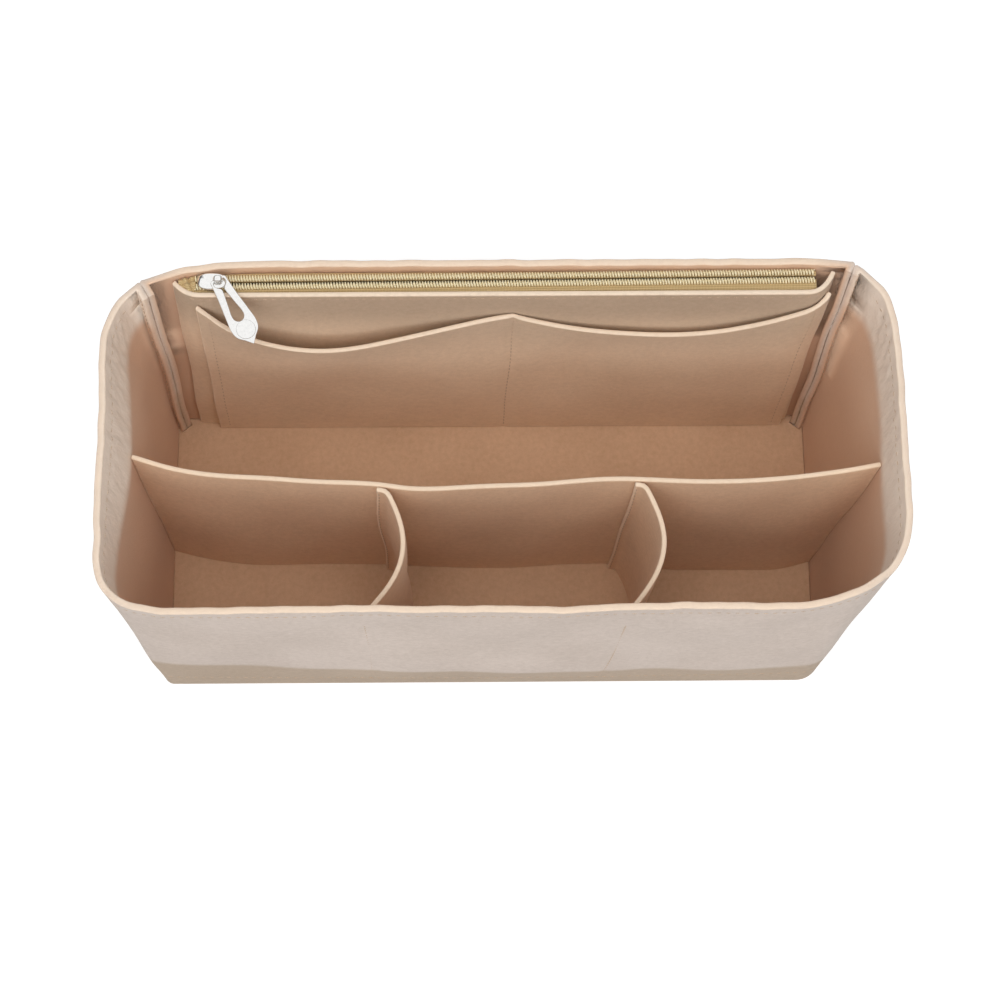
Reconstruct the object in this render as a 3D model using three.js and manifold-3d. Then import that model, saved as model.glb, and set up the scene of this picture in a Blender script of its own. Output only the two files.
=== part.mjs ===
// Felt insert that organises a handbag: an open tray of sewn felt sheets with a long divider, two cross
// dividers, a slip pocket panel and a zipped pouch along the back wall.
// Millimetres, +Z up. The origin is the middle of the underside; the front of the insert faces -Y.
import * as THREE from 'three';
import { mergeVertices } from 'three/addons/utils/BufferGeometryUtils.js';
import Module from 'manifold-3d';

// Shell
const baseWidth = 292.5;
const baseDepth = 127;
const wallHeight = 150;
const wallFelt = 2.8;
const floorFelt = 2.8;
const panelFelt = 2;
const layerGap = 0.3; // between two felt faces that lie against each other
const baseCornerRadii = { frontLeft: 4.5, frontRight: 11, backRight: 4.5, backLeft: 4.5 };

// The rim is wider and deeper than the base, because the soft walls lean out, and it leans a little to the
// right
const rimWidth = 319.5;
const rimDepth = 146;
const rimLean = 4;
const rimSetBack = 4.5;
// Rim corners: size along X and size along Y. A squareness of 2 makes an ellipse, more fills the corner out.
const rimCorners = { frontLeft: [30, 28], frontRight: [80, 43], backRight: [32, 44], backLeft: [74, 41] };
const rimSquareness = { frontLeft: 2.6, frontRight: 3.1, backRight: 2.5, backLeft: 3 };
const baseSquareness = 2;
// Where the corner seams meet the back corners, as angles round the corner: 0 is the side, 90 the back
const leftSeamAngle = 43;
const rightSeamAngle = 68;
const baseSeamAngle = 45;

// How the walls leave the straight line from foot to rim
const frontBellyHeight = 42;
const frontBelly = 2.6;
const leftWallTuck = 5;
const rightWallTuck = 0.8;

// Seam allowances that turn inwards at the two back corners, with the way they point in plan
const allowanceLength = { left: { foot: 6.5, rim: 6.5 }, right: { foot: 6.5, rim: 3 } };
const allowanceReach = { foot: 7.5, rim: 3.6 }; // along the wall, from the seam to the end of the bend
const allowanceStation = 9; // the wall's own stations are used from this far off the seam
const allowanceBendRadius = 1.6;
const allowanceTurnShares = {
  left: { foot: [0.64, -0.77], rim: [0.5, -0.87] },
  right: { foot: [-0.6, -0.8], rim: [-0.3, -0.95] },
};
const floorNotchGap = 0.5; // from the allowances to the floor that is cut out round them

// Long divider
const dividerDrop = 26; // from the rim down to its top edge
const dividerSag = 10; // towards the front, half way along
// The soft divider's waves as shares: [of the half length from its middle, of the sag at the floor, of the
// sag at its top edge]
const dividerWaveShares = [
  [-1, -0.17, 0.34], [-0.9, -0.55, -0.06], [-0.75, -0.85, -0.43], [-0.5, -0.82, -0.72], [-0.35, -0.86, -0.92],
  [-0.25, -0.93, -1.12], [-0.1, -1.03, -1.04], [0.05, -1.06, -0.89], [0.25, -0.9, -0.76], [0.4, -0.92, -0.75],
  [0.55, -1.18, -0.84], [0.75, -1.22, -0.73], [0.9, -1.2, -0.5], [1, -0.86, -0.18],
];

// Cross dividers: X of their back and front ends, at the floor and at their top edge
const crossDividerEnds = {
  left: { backFoot: -43.4, backHead: -43.3, frontFoot: -51.5, frontHead: -51.5 },
  right: { backFoot: 56.1, backHead: 61.8, frontFoot: 45.7, frontHead: 52.7 },
};
const crossDividerBulge = 11;
const crossEndRoom = 0.8; // for the corners of their square-cut front ends
const flangeWidth = 1.6;
const flangeBend = 2.4;

// Zipped pouch along the back wall
const pouchDrop = 3; // from the rim down to its top edge
// How far its ends are in from the outer faces of the sides, at the foot and at the rim
const pouchInset = { left: { foot: 13, rim: 27.75 }, right: { foot: 11, rim: 25.75 } };
const pouchDepthAtFoot = 0.8;
const pouchDepthAtTop = 9.4;
const pouchEndRun = 12; // length over which each end bends back to the wall
const pouchEndSquareness = 3;

// Slip pockets in front of the pouch
const slipInset = { left: 9, right: 2.5 }; // its ends, in from the pouch's ends
const slipMiddle = 5.5;
const slipEndDrop = 10.5; // from the rim down to its top edge, at its ends and at its middle
const slipMiddleDrop = 20;
const slipDipDepth = { left: 23.8, right: 19.8 }; // of each scallop, below the straight line between its ends
// 1 puts each scallop's lowest point half way along it, more moves it to the outer end
const slipDipSkew = { left: 1.6, right: 1.1 };
// The powers of the sine that draws a scallop: a smaller one makes it fuller
const slipDipPowers = { left: [0.8, 1], right: [0.8, 0.9] }; // at the middle, at the outer end
const slipStandOff = { left: 7.5, right: 2.5 }; // how far each pocket's mouth stands open

// Zip
const zipInset = { left: 8, right: 7 }; // the zip's ends, in from the pouch's ends
const coilWidth = 2.5;
const coilHeight = 2.2;
const coilGap = 1.2;
const zipSetBack = { left: -0.7, right: 1.1 }; // of the zip's ends, off the middle of the pouch's mouth
const coilPitch = 3.2;
const coilGroove = 0.35;
const zipDrop = 1.9; // from the rim down to the top of the coils
const tapeFelt = 0.5;
const tapeLeg = 9;
const zipClearance = 0.25;

// Slider and pull tab
const sliderParking = 8; // from the zip's left end to the slider's middle, with the zip closed
const sliderLength = 11;
const sliderNoseWidth = 6.8;
const sliderTailWidth = 5.2;
const plateThickness = 1;
const footPlateWidth = 3.4;
const footPlateThickness = 0.8;
const postThickness = 0.5;
const postLength = 3;
const archBar = 0.8;
const archHalfSpan = 2.2;
const archHeight = 2.7;
const archAhead = 2; // from the slider's middle towards its tail
const tabLength = 29.8;
const tabThickness = 0.8;
const tabRootWidth = 6.9;
const tabWidth = 11.2;
const tabLegWidth = 1;
const tabWindowLength = 18.7;
const tabWindowWidth = 4.8;
const tabShoulder = 21.5; // from the pivot to the middle of the round end
const tabTurn = 30; // degrees, from straight to the front towards the right
const tabDroop = 13; // degrees below level
const tabPivotRise = 1.05; // above the slider's plate

// Sewing thread
const threadRadius = 0.3;
const threadGap = 0.25;
const rimStitchDrop = 7;
const baseStitchHeight = 16;
const seamStandOff = 2.5; // from a sheet's edge, or from the row that a seam meets
const tapeStitchDrop = 3;
const seamShare = 0.5; // where the corner seams lie between an allowance's edge and its bend
const slipSideShare = 0.035; // how far the slip pockets' side seams are in from their ends

// Materials
const felt = { color: 0xc4a283, roughness: 0.95, metalness: 0 };
const outerFelt = { color: 0xc9b7a8, roughness: 0.95, metalness: 0 };
const threadLook = { color: 0xb08f70, roughness: 0.8, metalness: 0 };
const tapeLook = { color: 0xbfa06c, roughness: 0.85, metalness: 0 };
const coilLook = { color: 0xd0b176, roughness: 0.45, metalness: 0 };
const chromeLook = { color: 0xd9d9d6, roughness: 0.12, metalness: 1 };

const insert = new THREE.Group();

function addPiece(name, geometry, look) {
  const mesh = new THREE.Mesh(geometry, new THREE.MeshStandardMaterial(look));
  mesh.name = name;
  insert.add(mesh);
  return mesh;
}

const mix = THREE.MathUtils.lerp;
const radians = THREE.MathUtils.degToRad;

// A straight line through listed points, read at x
function readTable(table, x) {
  let i = 1;
  while (i < table.length - 1 && x > table[i][0]) i += 1;
  const [x0, y0] = table[i - 1];
  const [x1, y1] = table[i];
  return mix(y0, y1, THREE.MathUtils.clamp((x - x0) / (x1 - x0), 0, 1));
}

// A closed body lofted through rings of points. Each ring goes out along one face and comes back along the
// other, so that its ends are closed with strips.
function loft(rings) {
  const size = rings[0].length;
  const positions = rings.flat().flatMap((p) => [p.x, p.y, p.z]);
  const index = [];
  const quad = (a, b, c, d) => index.push(a, b, c, a, c, d);
  for (let i = 0; i < rings.length - 1; i += 1) {
    for (let j = 0; j < size; j += 1) {
      const k = (j + 1) % size;
      quad(i * size + j, i * size + k, (i + 1) * size + k, (i + 1) * size + j);
    }
  }
  const last = (rings.length - 1) * size;
  for (let j = 0; j < size / 2 - 1; j += 1) {
    const back = size - 1 - j;
    quad(j, back, back - 1, j + 1);
    quad(last + j, last + j + 1, last + back - 1, last + back);
  }
  const geometry = new THREE.BufferGeometry();
  geometry.setAttribute('position', new THREE.Float32BufferAttribute(positions, 3));
  geometry.setIndex(index);
  if (volumeOf(geometry) < 0) geometry.setIndex(index.reverse());
  geometry.computeVertexNormals();
  return geometry;
}

function volumeOf(geometry) {
  const position = geometry.getAttribute('position');
  const index = geometry.getIndex();
  const [a, b, c] = [new THREE.Vector3(), new THREE.Vector3(), new THREE.Vector3()];
  let volume = 0;
  for (let i = 0; i < index.count; i += 3) {
    a.fromBufferAttribute(position, index.getX(i));
    b.fromBufferAttribute(position, index.getX(i + 1));
    c.fromBufferAttribute(position, index.getX(i + 2));
    volume += a.dot(b.cross(c)) / 6;
  }
  return volume;
}

// The level normal of an upright sheet at one station: square to the line between the stations beside it
function levelNormal(line, i) {
  const before = line[Math.max(i - 1, 0)];
  const after = line[Math.min(i + 1, line.length - 1)];
  return new THREE.Vector3(before.y - after.y, after.x - before.x, 0).normalize();
}

// An upright felt sheet: lines[k] is its middle line at level k, drawn from station to station
function uprightSheet(lines, thickness) {
  const rings = lines[0].map((_, i) => {
    const front = lines.map((line) => line[i].clone().addScaledVector(levelNormal(line, i), thickness / 2));
    const back = lines.map((line) => line[i].clone().addScaledVector(levelNormal(line, i), -thickness / 2));
    return [...front, ...back.reverse()];
  });
  return loft(rings);
}

// Thread laid through points as a thin cord with a six-sided section
function threadThrough(points) {
  const sides = 6;
  const climbs = Math.abs(points[0].z - points[points.length - 1].z) > threadRadius;
  const aside = climbs ? new THREE.Vector3(1, 0, 0) : new THREE.Vector3(0, 0, 1);
  return loft(points.map((point, i) => {
    const before = points[Math.max(i - 1, 0)];
    const after = points[Math.min(i + 1, points.length - 1)];
    const across = new THREE.Vector3().subVectors(after, before).cross(aside).normalize();
    const other = new THREE.Vector3().subVectors(after, before).cross(across).normalize();
    return Array.from({ length: sides }, (_, k) => {
      const angle = (2 * Math.PI * k) / sides;
      return point.clone()
        .addScaledVector(across, Math.cos(angle) * threadRadius)
        .addScaledVector(other, Math.sin(angle) * threadRadius);
    });
  }));
}

function shapeThrough(points) {
  return new THREE.Shape(points.map(([x, y]) => new THREE.Vector2(x, y)));
}

// Plan of the shell

// One quarter of a plan outline: the share of the way round its corner is given as an angle from the side
// to the end, with the box that the outline touches and the corner's own size
function cornerPoint([sizeX, sizeY], squareness, angle, signX, signY, box) {
  const power = 2 / squareness;
  const x = sizeX * Math.cos(radians(angle)) ** power;
  const y = sizeY * Math.sin(radians(angle)) ** power;
  return new THREE.Vector2(
    (signX < 0 ? box.left + sizeX : box.right - sizeX) + signX * x,
    (signY < 0 ? box.front + sizeY : box.back - sizeY) + signY * y,
  );
}

// The plan outline of the walls' middle surface as a dense line, from the left corner seam by the left
// side, the front and the right side to the right corner seam, and then by the back to the left seam again.
// marks holds where the corners' middles and the seams are in it.
function planOutline(box, corners, squareness, seamAngles) {
  const steps = 40;
  const points = [];
  const marks = {};
  const arc = (name, signX, signY, from, to) => {
    for (let i = 0; i <= steps; i += 1) {
      points.push(cornerPoint(corners[name], squareness[name], mix(from, to, i / steps), signX, signY, box));
    }
  };
  marks.leftSeam = points.length;
  arc('backLeft', -1, 1, seamAngles.backLeft, 0);
  arc('frontLeft', -1, -1, 0, 45);
  marks.frontLeft = points.length - 1;
  arc('frontLeft', -1, -1, 45, 90);
  arc('frontRight', 1, -1, 90, 45);
  marks.frontRight = points.length - 1;
  arc('frontRight', 1, -1, 45, 0);
  arc('backRight', 1, 1, 0, seamAngles.backRight);
  marks.rightSeam = points.length - 1;
  arc('backRight', 1, 1, seamAngles.backRight, 90);
  arc('backLeft', -1, 1, 90, seamAngles.backLeft);
  marks.end = points.length - 1;
  return { points, marks };
}

function insetCorners(corners, inset) {
  return Object.fromEntries(Object.entries(corners).map(([name, [x, y]]) => [name, [x - inset, y - inset]]));
}

function middleOutline(box, corners, squareness, seamAngles) {
  const inset = wallFelt / 2;
  const middle = {
    left: box.left + inset,
    right: box.right - inset,
    front: box.front + inset,
    back: box.back - inset,
  };
  return planOutline(middle, insetCorners(corners, inset), squareness, seamAngles);
}

const baseBox = { left: -baseWidth / 2, right: baseWidth / 2, front: -baseDepth / 2, back: baseDepth / 2 };
const rimBox = {
  left: rimLean - rimWidth / 2,
  right: rimLean + rimWidth / 2,
  front: rimSetBack - rimDepth / 2,
  back: rimSetBack + rimDepth / 2,
};
const atEachCorner = (value) => ({ frontLeft: value, frontRight: value, backRight: value, backLeft: value });
const cornerSizes = Object.entries(baseCornerRadii).map(([name, radius]) => [name, [radius, radius]]);
const baseCorners = Object.fromEntries(cornerSizes);
const baseSeamAngles = atEachCorner(baseSeamAngle);
const baseLine = middleOutline(baseBox, baseCorners, atEachCorner(baseSquareness), baseSeamAngles);
const rimSeamAngles = { backLeft: leftSeamAngle, backRight: rightSeamAngle };
const rimLine = middleOutline(rimBox, rimCorners, rimSquareness, rimSeamAngles);

// Points at the given shares of the length of part of an outline
function resample(points, from, to, shares) {
  const run = points.slice(from, to + 1);
  const lengths = [0];
  for (let i = 1; i < run.length; i += 1) lengths.push(lengths[i - 1] + run[i].distanceTo(run[i - 1]));
  const whole = lengths[lengths.length - 1];
  return shares.map((share) => {
    let i = 1;
    while (i < run.length - 1 && lengths[i] < share * whole) i += 1;
    const step = lengths[i] - lengths[i - 1] || 1;
    const reached = (share * whole - lengths[i - 1]) / step;
    return run[i - 1].clone().lerp(run[i], THREE.MathUtils.clamp(reached, 0, 1));
  });
}

// Stations are close together near the base's crisp corners and wide apart along the straight walls
const halfRunShares = [0, 0.006, 0.012, 0.03, 0.05, 0.075, 0.1, 0.13, 0.165, 0.21, 0.27, 0.34, 0.42];
const runShares = [...halfRunShares, 0.5, ...halfRunShares.map((share) => 1 - share).reverse()];

// Pairs of base and rim points, station by station, for one run of the outline
function pairedStations(fromMark, toMark) {
  const base = resample(baseLine.points, baseLine.marks[fromMark], baseLine.marks[toMark], runShares);
  const rim = resample(rimLine.points, rimLine.marks[fromMark], rimLine.marks[toMark], runShares);
  return base.map((point, i) => [point, rim[i], runShares[i]]);
}

// A tent from 0 at the foot to 1 at the peak and 0 at the rim
function tent(z, peak) {
  return z < peak ? z / peak : (wallHeight - z) / (wallHeight - peak);
}

// A bump that is 0 at both ends of a run and 1 in its middle
function bump(share) {
  return Math.sin(Math.PI * share) ** 2;
}

// Middle-surface point of a wall between its base point and its rim point at height z, pushed out by a
// distance in the direction that points away from the insert's middle
function wallPoint([base, rim, share], z, outX, outY, push) {
  const plan = base.clone().lerp(rim, z / wallHeight);
  const reach = push(z) * bump(share);
  return new THREE.Vector3(plan.x + outX * reach, plan.y + outY * reach, z);
}

const dividerHeight = wallHeight - dividerDrop;
const leftPush = (z) => -leftWallTuck * tent(z, dividerHeight);
const rightPush = (z) => -rightWallTuck * tent(z, dividerHeight);
const frontPush = (z) => frontBelly * tent(z, frontBellyHeight);
const noPush = () => 0;

// Levels of the shell's sheets: its foot, the belly, half way up, the divider's top edge, the flare and the
// rim
const halfway = (low, high) => (low + high) / 2;
const sideLevels = [
  0, frontBellyHeight, halfway(frontBellyHeight, dividerHeight),
  dividerHeight, halfway(dividerHeight, wallHeight), wallHeight,
];

function wallLine(z, fromMark, toMark, outX, outY, push) {
  return pairedStations(fromMark, toMark).map((pair) => wallPoint(pair, z, outX, outY, push));
}
const leftWallLine = (z) => wallLine(z, 'leftSeam', 'frontLeft', -1, 0, leftPush);
const frontWallLine = (z) => wallLine(z, 'frontLeft', 'frontRight', 0, -1, frontPush);
const rightWallLine = (z) => wallLine(z, 'frontRight', 'rightSeam', 1, 0, rightPush);

function wrapLine(z) {
  return [...leftWallLine(z), ...frontWallLine(z).slice(1), ...rightWallLine(z).slice(1)];
}

function backLine(z) {
  return wallLine(z, 'rightSeam', 'end', 0, 1, noPush).reverse();
}

// A round bend between two lines that leave the same corner
function roundBend(corner, firstWay, secondWay, radius) {
  const half = firstWay.angleTo(secondWay) / 2;
  const leg = radius / Math.tan(half);
  const inward = firstWay.clone().add(secondWay).normalize();
  const middle = corner.clone().addScaledVector(inward, radius / Math.sin(half));
  const start = corner.clone().addScaledVector(firstWay, leg).sub(middle);
  const end = corner.clone().addScaledVector(secondWay, leg).sub(middle);
  const from = Math.atan2(start.y, start.x);
  const sweep = Math.sign(start.x * end.y - start.y * end.x) * (Math.PI - 2 * half);
  const steps = 6;
  return Array.from({ length: steps + 1 }, (_, i) => {
    const angle = from + (sweep * i) / steps;
    return new THREE.Vector3(Math.cos(angle) * radius, Math.sin(angle) * radius, 0).add(middle);
  });
}

// Where a line through a with direction u meets a line through b with direction v, seen in plan
function crossing(a, u, b, v) {
  const reach = ((b.x - a.x) * v.y - (b.y - a.y) * v.x) / (u.x * v.y - u.y * v.x);
  return a.clone().addScaledVector(u, reach);
}

// The allowance of one layer at a corner seam, from its tip to the end of the bend that leads into the
// wall, and the first of the wall's stations that is used after it. The line and the wall's foot line start
// at the seam; side tells on which side of the seam's own line the layer lies.
function allowance(line, foot, turns, lengths, side) {
  const seam = line[0];
  const rise = seam.z / wallHeight;
  const [turnX, turnY] = turns.foot.map((share, k) => mix(share, turns.rim[k], rise));
  const turn = new THREE.Vector3(turnX, turnY, 0).normalize();
  const square = new THREE.Vector3(-turn.y, turn.x, 0);
  const offset = (side * (wallFelt + layerGap)) / 2;
  const reach = mix(allowanceReach.foot, allowanceReach.rim, rise);
  const i = line.findIndex((point) => point.distanceTo(seam) > reach);
  const way = line[i].clone().sub(line[i - 1]).normalize();
  const knee = crossing(seam.clone().addScaledVector(square, offset), turn, line[i], way);
  const tip = knee.clone().addScaledVector(turn, mix(lengths.foot, lengths.rim, rise));
  const next = foot.findIndex((point) => point.distanceTo(foot[0]) > allowanceStation);
  return [[tip, ...roundBend(knee, turn, way, allowanceBendRadius)], next];
}

// A wall's line at one height between its two allowances, and with them
function seamedRun(lineAt, z, side) {
  const [line, foot] = [lineAt(z), lineAt(0)];
  const [startBend, from] = allowance(line, foot, allowanceTurnShares.left, allowanceLength.left, side);
  const [backwards, footBackwards] = [[...line].reverse(), [...foot].reverse()];
  const [endBend, to] = allowance(
    backwards, footBackwards, allowanceTurnShares.right, allowanceLength.right, -side,
  );
  const between = line.slice(from, line.length - to);
  return { between, whole: [...startBend, ...between, ...endBend.reverse()] };
}

const wrapRun = (z) => seamedRun(wrapLine, z, -1);
const backRun = (z) => seamedRun(backLine, z, 1);
const wrapLines = sideLevels.map((z) => wrapRun(z).whole);
const backLines = sideLevels.map((z) => backRun(z).whole);
addPiece('wraparound_wall', uprightSheet(wrapLines, wallFelt), outerFelt);
addPiece('back_wall', uprightSheet(backLines, wallFelt), outerFelt);

// Faces of the walls, for the pieces that stand against them, read at one height
const inner = 1;
const outer = -1;
function sideFace(sign, y, z, face) {
  const line = sign < 0 ? leftWallLine(z).reverse() : rightWallLine(z);
  return readTable(line.map((point) => [point.y, point.x]), y) - (face * sign * wallFelt) / 2;
}

function frontFace(x, z, face) {
  return readTable(frontWallLine(z).map((point) => [point.x, point.y]), x) + (face * wallFelt) / 2;
}

// Y of the back wall's inner face at a place along it
function backInside(x, z) {
  return readTable(backLine(z).map((point) => [point.x, point.y]), x) - wallFelt / 2;
}

// How far the walls lean to the right at height z
const leanAt = (z) => (rimLean * z) / wallHeight;

// Room in the floor for the two layers of allowance at a back corner: a notch along them, with its corners
// from the floor's side edge to its back edge
function floorNotch(sign, halfX, halfY) {
  const pick = (line) => (sign < 0 ? line[0] : line[line.length - 1]);
  const shares = sign < 0 ? allowanceTurnShares.left.foot : allowanceTurnShares.right.foot;
  const seam = pick(wrapLine(0));
  const turn = new THREE.Vector3(...shares, 0).normalize();
  const toBack = new THREE.Vector3(-turn.y, turn.x, 0).multiplyScalar(-sign);
  const halfWidth = wallFelt + layerGap / 2 + floorNotchGap;
  const tips = [wrapRun(0), backRun(0)].map((run) => pick(run.whole).clone().sub(seam).dot(turn));
  const reach = Math.max(...tips) + floorNotchGap;
  const place = (along, across) => {
    return seam.clone().addScaledVector(turn, along).addScaledVector(toBack, across * halfWidth);
  };
  const [alongX, alongY] = [new THREE.Vector3(1, 0, 0), new THREE.Vector3(0, 1, 0)];
  const sideEdge = crossing(place(0, -1), turn, new THREE.Vector3(sign * halfX, 0, 0), alongY);
  const backEdge = crossing(place(0, 1), turn, new THREE.Vector3(0, halfY, 0), alongX);
  return [sideEdge, place(reach, -1), place(reach, 1), backEdge];
}

function floorGeometry() {
  const inset = wallFelt + layerGap;
  const [halfX, halfY] = [baseWidth / 2 - inset, baseDepth / 2 - inset];
  const left = Math.max(baseCornerRadii.frontLeft - inset, layerGap);
  const right = Math.max(baseCornerRadii.frontRight - inset, layerGap);
  const shape = new THREE.Shape();
  shape.moveTo(-halfX + left, -halfY);
  shape.absarc(halfX - right, -halfY + right, right, -Math.PI / 2, 0);
  const notches = [...floorNotch(1, halfX, halfY), ...floorNotch(-1, halfX, halfY).reverse()];
  for (const corner of notches) shape.lineTo(corner.x, corner.y);
  shape.absarc(-halfX + left, -halfY + left, left, Math.PI, Math.PI * 1.5);
  return new THREE.ExtrudeGeometry(shape, { depth: floorFelt, bevelEnabled: false, curveSegments: 3 });
}
addPiece('floor_panel', floorGeometry(), felt);
const standing = floorFelt + layerGap; // height at which the inner sheets start

// Long divider
const waveY = ([, foot, head], z) => dividerSag * mix(foot, head, z / dividerHeight);

function dividerEndY(sign, z) {
  return waveY(sign < 0 ? dividerWaveShares[0] : dividerWaveShares[dividerWaveShares.length - 1], z);
}

function dividerEnds(z) {
  return [-1, 1].map((sign) => sideFace(sign, dividerEndY(sign, z), z, inner) - sign * layerGap);
}

const dividerSteps = 40;
function dividerLine(z) {
  const [left, right] = dividerEnds(z);
  const knots = dividerWaveShares.map((wave) => {
    return new THREE.Vector3(mix(left, right, (wave[0] + 1) / 2), waveY(wave, z), z);
  });
  return new THREE.CatmullRomCurve3(knots).getSpacedPoints(dividerSteps);
}

function dividerAt(x, z) {
  return readTable(dividerLine(z).map((point) => [point.x, point.y]), x);
}

const dividerLevels = [standing, frontBellyHeight, (frontBellyHeight + dividerHeight) / 2, dividerHeight];
addPiece('long_divider', uprightSheet(dividerLevels.map(dividerLine), panelFelt), felt);

// Cross dividers: a flange along the long divider, a bend, and a run that bulges to the right on its way to
// the front wall
const flangeFace = (x, z) => dividerAt(x, z) - panelFelt - layerGap;

function crossLine({ backFoot, backHead, frontFoot, frontHead }, z) {
  const rise = z / dividerHeight;
  const [backX, frontX] = [mix(backFoot, backHead, rise), mix(frontFoot, frontHead, rise)];
  const corner = new THREE.Vector3(backX, flangeFace(backX, z), z);
  const [edge, bendStart] = [flangeWidth + flangeBend, flangeBend].map((back) => {
    return new THREE.Vector3(backX - back, flangeFace(backX - back, z), z);
  });
  const end = frontFace(frontX, z, inner) + layerGap + crossEndRoom;
  const runSteps = 10;
  const run = Array.from({ length: runSteps + 1 }, (_, i) => {
    const y = mix(corner.y - flangeBend, end, i / runSteps);
    const share = (y - corner.y) / (end - corner.y);
    return new THREE.Vector3(mix(backX, frontX, share) + crossDividerBulge * Math.sin(Math.PI * share), y, z);
  });
  const bendSteps = 5;
  const bend = new THREE.QuadraticBezierCurve3(bendStart, corner, run[0]).getPoints(bendSteps);
  return [edge, ...bend, ...run.slice(1)];
}

const crossDividers = Object.entries(crossDividerEnds);
for (const [side, ends] of crossDividers) {
  const lines = dividerLevels.map((z) => crossLine(ends, z));
  addPiece(`${side}_cross_divider`, uprightSheet(lines, panelFelt), felt);
}

// Zipped pouch: its front panel runs parallel to the back wall and both its ends bend back to the wall
const pouchHeight = wallHeight - pouchDrop;
const pouchEndOf = (side, sign) => (z) => {
  const foot = baseBox[side] - sign * pouchInset[side].foot;
  const rim = rimBox[side] - sign * pouchInset[side].rim;
  return mix(foot, rim, z / wallHeight);
};
const pouchEnd = { left: pouchEndOf('left', -1), right: pouchEndOf('right', 1) };

const pouchStraightY = (z) => {
  const depth = mix(pouchDepthAtFoot, pouchDepthAtTop, z / pouchHeight);
  return backInside(rimLean, z) - depth - panelFelt / 2;
};

function pouchY(x, z) {
  const left = pouchEnd.left(z);
  const right = pouchEnd.right(z);
  const fromEnd = Math.min(x - left, right - x) / pouchEndRun;
  const bend = THREE.MathUtils.clamp(1 - fromEnd, 0, 1) ** pouchEndSquareness;
  const against = backInside(x, z) - layerGap - panelFelt / 2;
  return Math.min(mix(pouchStraightY(z), against, bend), against);
}

const pouchEndSteps = 8;
const pouchMiddleSteps = 14;
function pouchLine(z) {
  const left = pouchEnd.left(z);
  const right = pouchEnd.right(z);
  const stations = [];
  const endStation = (i) => (pouchEndRun * i) / pouchEndSteps;
  for (let i = 0; i < pouchEndSteps; i += 1) stations.push(left + endStation(i));
  for (let i = 0; i <= pouchMiddleSteps; i += 1) {
    stations.push(mix(left + pouchEndRun, right - pouchEndRun, i / pouchMiddleSteps));
  }
  for (let i = 1; i <= pouchEndSteps; i += 1) stations.push(right - pouchEndRun + endStation(i));
  return stations.map((x) => new THREE.Vector3(x, pouchY(x, z), z));
}

const pouchLevels = [standing, pouchHeight / 3, (pouchHeight * 2) / 3, pouchHeight];
addPiece('zip_pocket_panel', uprightSheet(pouchLevels.map(pouchLine), panelFelt), felt);

// Slip pocket panel: it follows the pouch's front and its scalloped mouths stand a little open
const slipEndHeight = wallHeight - slipEndDrop;
const slipMiddleHeight = wallHeight - slipMiddleDrop;
const slipLineHeight = (slipEndHeight + slipMiddleHeight) / 2;

// How far one scallop dips, from 0 at its ends to 1 at its lowest point
function slipDip(share) {
  const side = share < 0 ? 'left' : 'right';
  const place = Math.abs(share) ** slipDipSkew[side];
  const [middlePower, endPower] = slipDipPowers[side];
  return Math.sin(Math.PI * place) ** mix(middlePower, endPower, place);
}

function slipTop(share) {
  const inLeft = share < 0;
  const local = inLeft ? 1 + share : share; // 0 and 1 at the ends of one scallop
  const [from, to] = inLeft ? [slipEndHeight, slipMiddleHeight] : [slipMiddleHeight, slipEndHeight];
  const chord = mix(from, to, local);
  return chord - slipDipDepth[inLeft ? 'left' : 'right'] * slipDip(share);
}

function slipPoint(share, z) {
  const end = share < 0 ? pouchEnd.left(z) + slipInset.left : pouchEnd.right(z) - slipInset.right;
  const x = mix(slipMiddle + leanAt(z), end, Math.abs(share));
  const step = panelFelt / 2;
  const slope = (pouchY(x + step, z) - pouchY(x - step, z)) / (2 * step);
  const inFront = new THREE.Vector3(slope, -1, 0).normalize();
  const side = share < 0 ? 'left' : 'right';
  const open = slipStandOff[side] * slipDip(share) * (z / (slipLineHeight - slipDipDepth[side])) ** 2;
  return new THREE.Vector3(x, pouchY(x, z), z).addScaledVector(inFront, panelFelt + layerGap + open);
}

// Shares from -1 to 1 that crowd together towards both ends
function endedShares(steps) {
  return Array.from({ length: steps + 1 }, (_, i) => Math.sin(Math.PI * (i / steps - 0.5)));
}

const slipSteps = 56;
const slipRows = 5;
const slipLines = Array.from({ length: slipRows + 1 }, (_, k) => {
  return endedShares(slipSteps).map((share) => slipPoint(share, mix(standing, slipTop(share), k / slipRows)));
});
addPiece('slip_pocket_panel', uprightSheet(slipLines, panelFelt), felt);

// Zip: two tapes that hang along the back wall and the pouch panel, two coil rows on them
const coilTop = wallHeight - zipDrop;
const coilFoot = coilTop - coilHeight;
const tapeTop = coilFoot - zipClearance;
const tapeFoot = tapeTop - tapeFelt;
const pouchBack = (x, z) => pouchY(x, z) + panelFelt / 2;
const mouthMiddle = (pouchBack(rimLean, pouchHeight) + backInside(rimLean, pouchHeight)) / 2;
const zipLeft = pouchEnd.left(wallHeight) + zipInset.left;
const zipRight = pouchEnd.right(wallHeight) - zipInset.right;
const zipShare = (x) => (x - zipLeft) / (zipRight - zipLeft);
const zipY = (x) => mouthMiddle + mix(zipSetBack.left, zipSetBack.right, zipShare(x));
const rowOffset = (coilGap + coilWidth) / 2;

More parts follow.
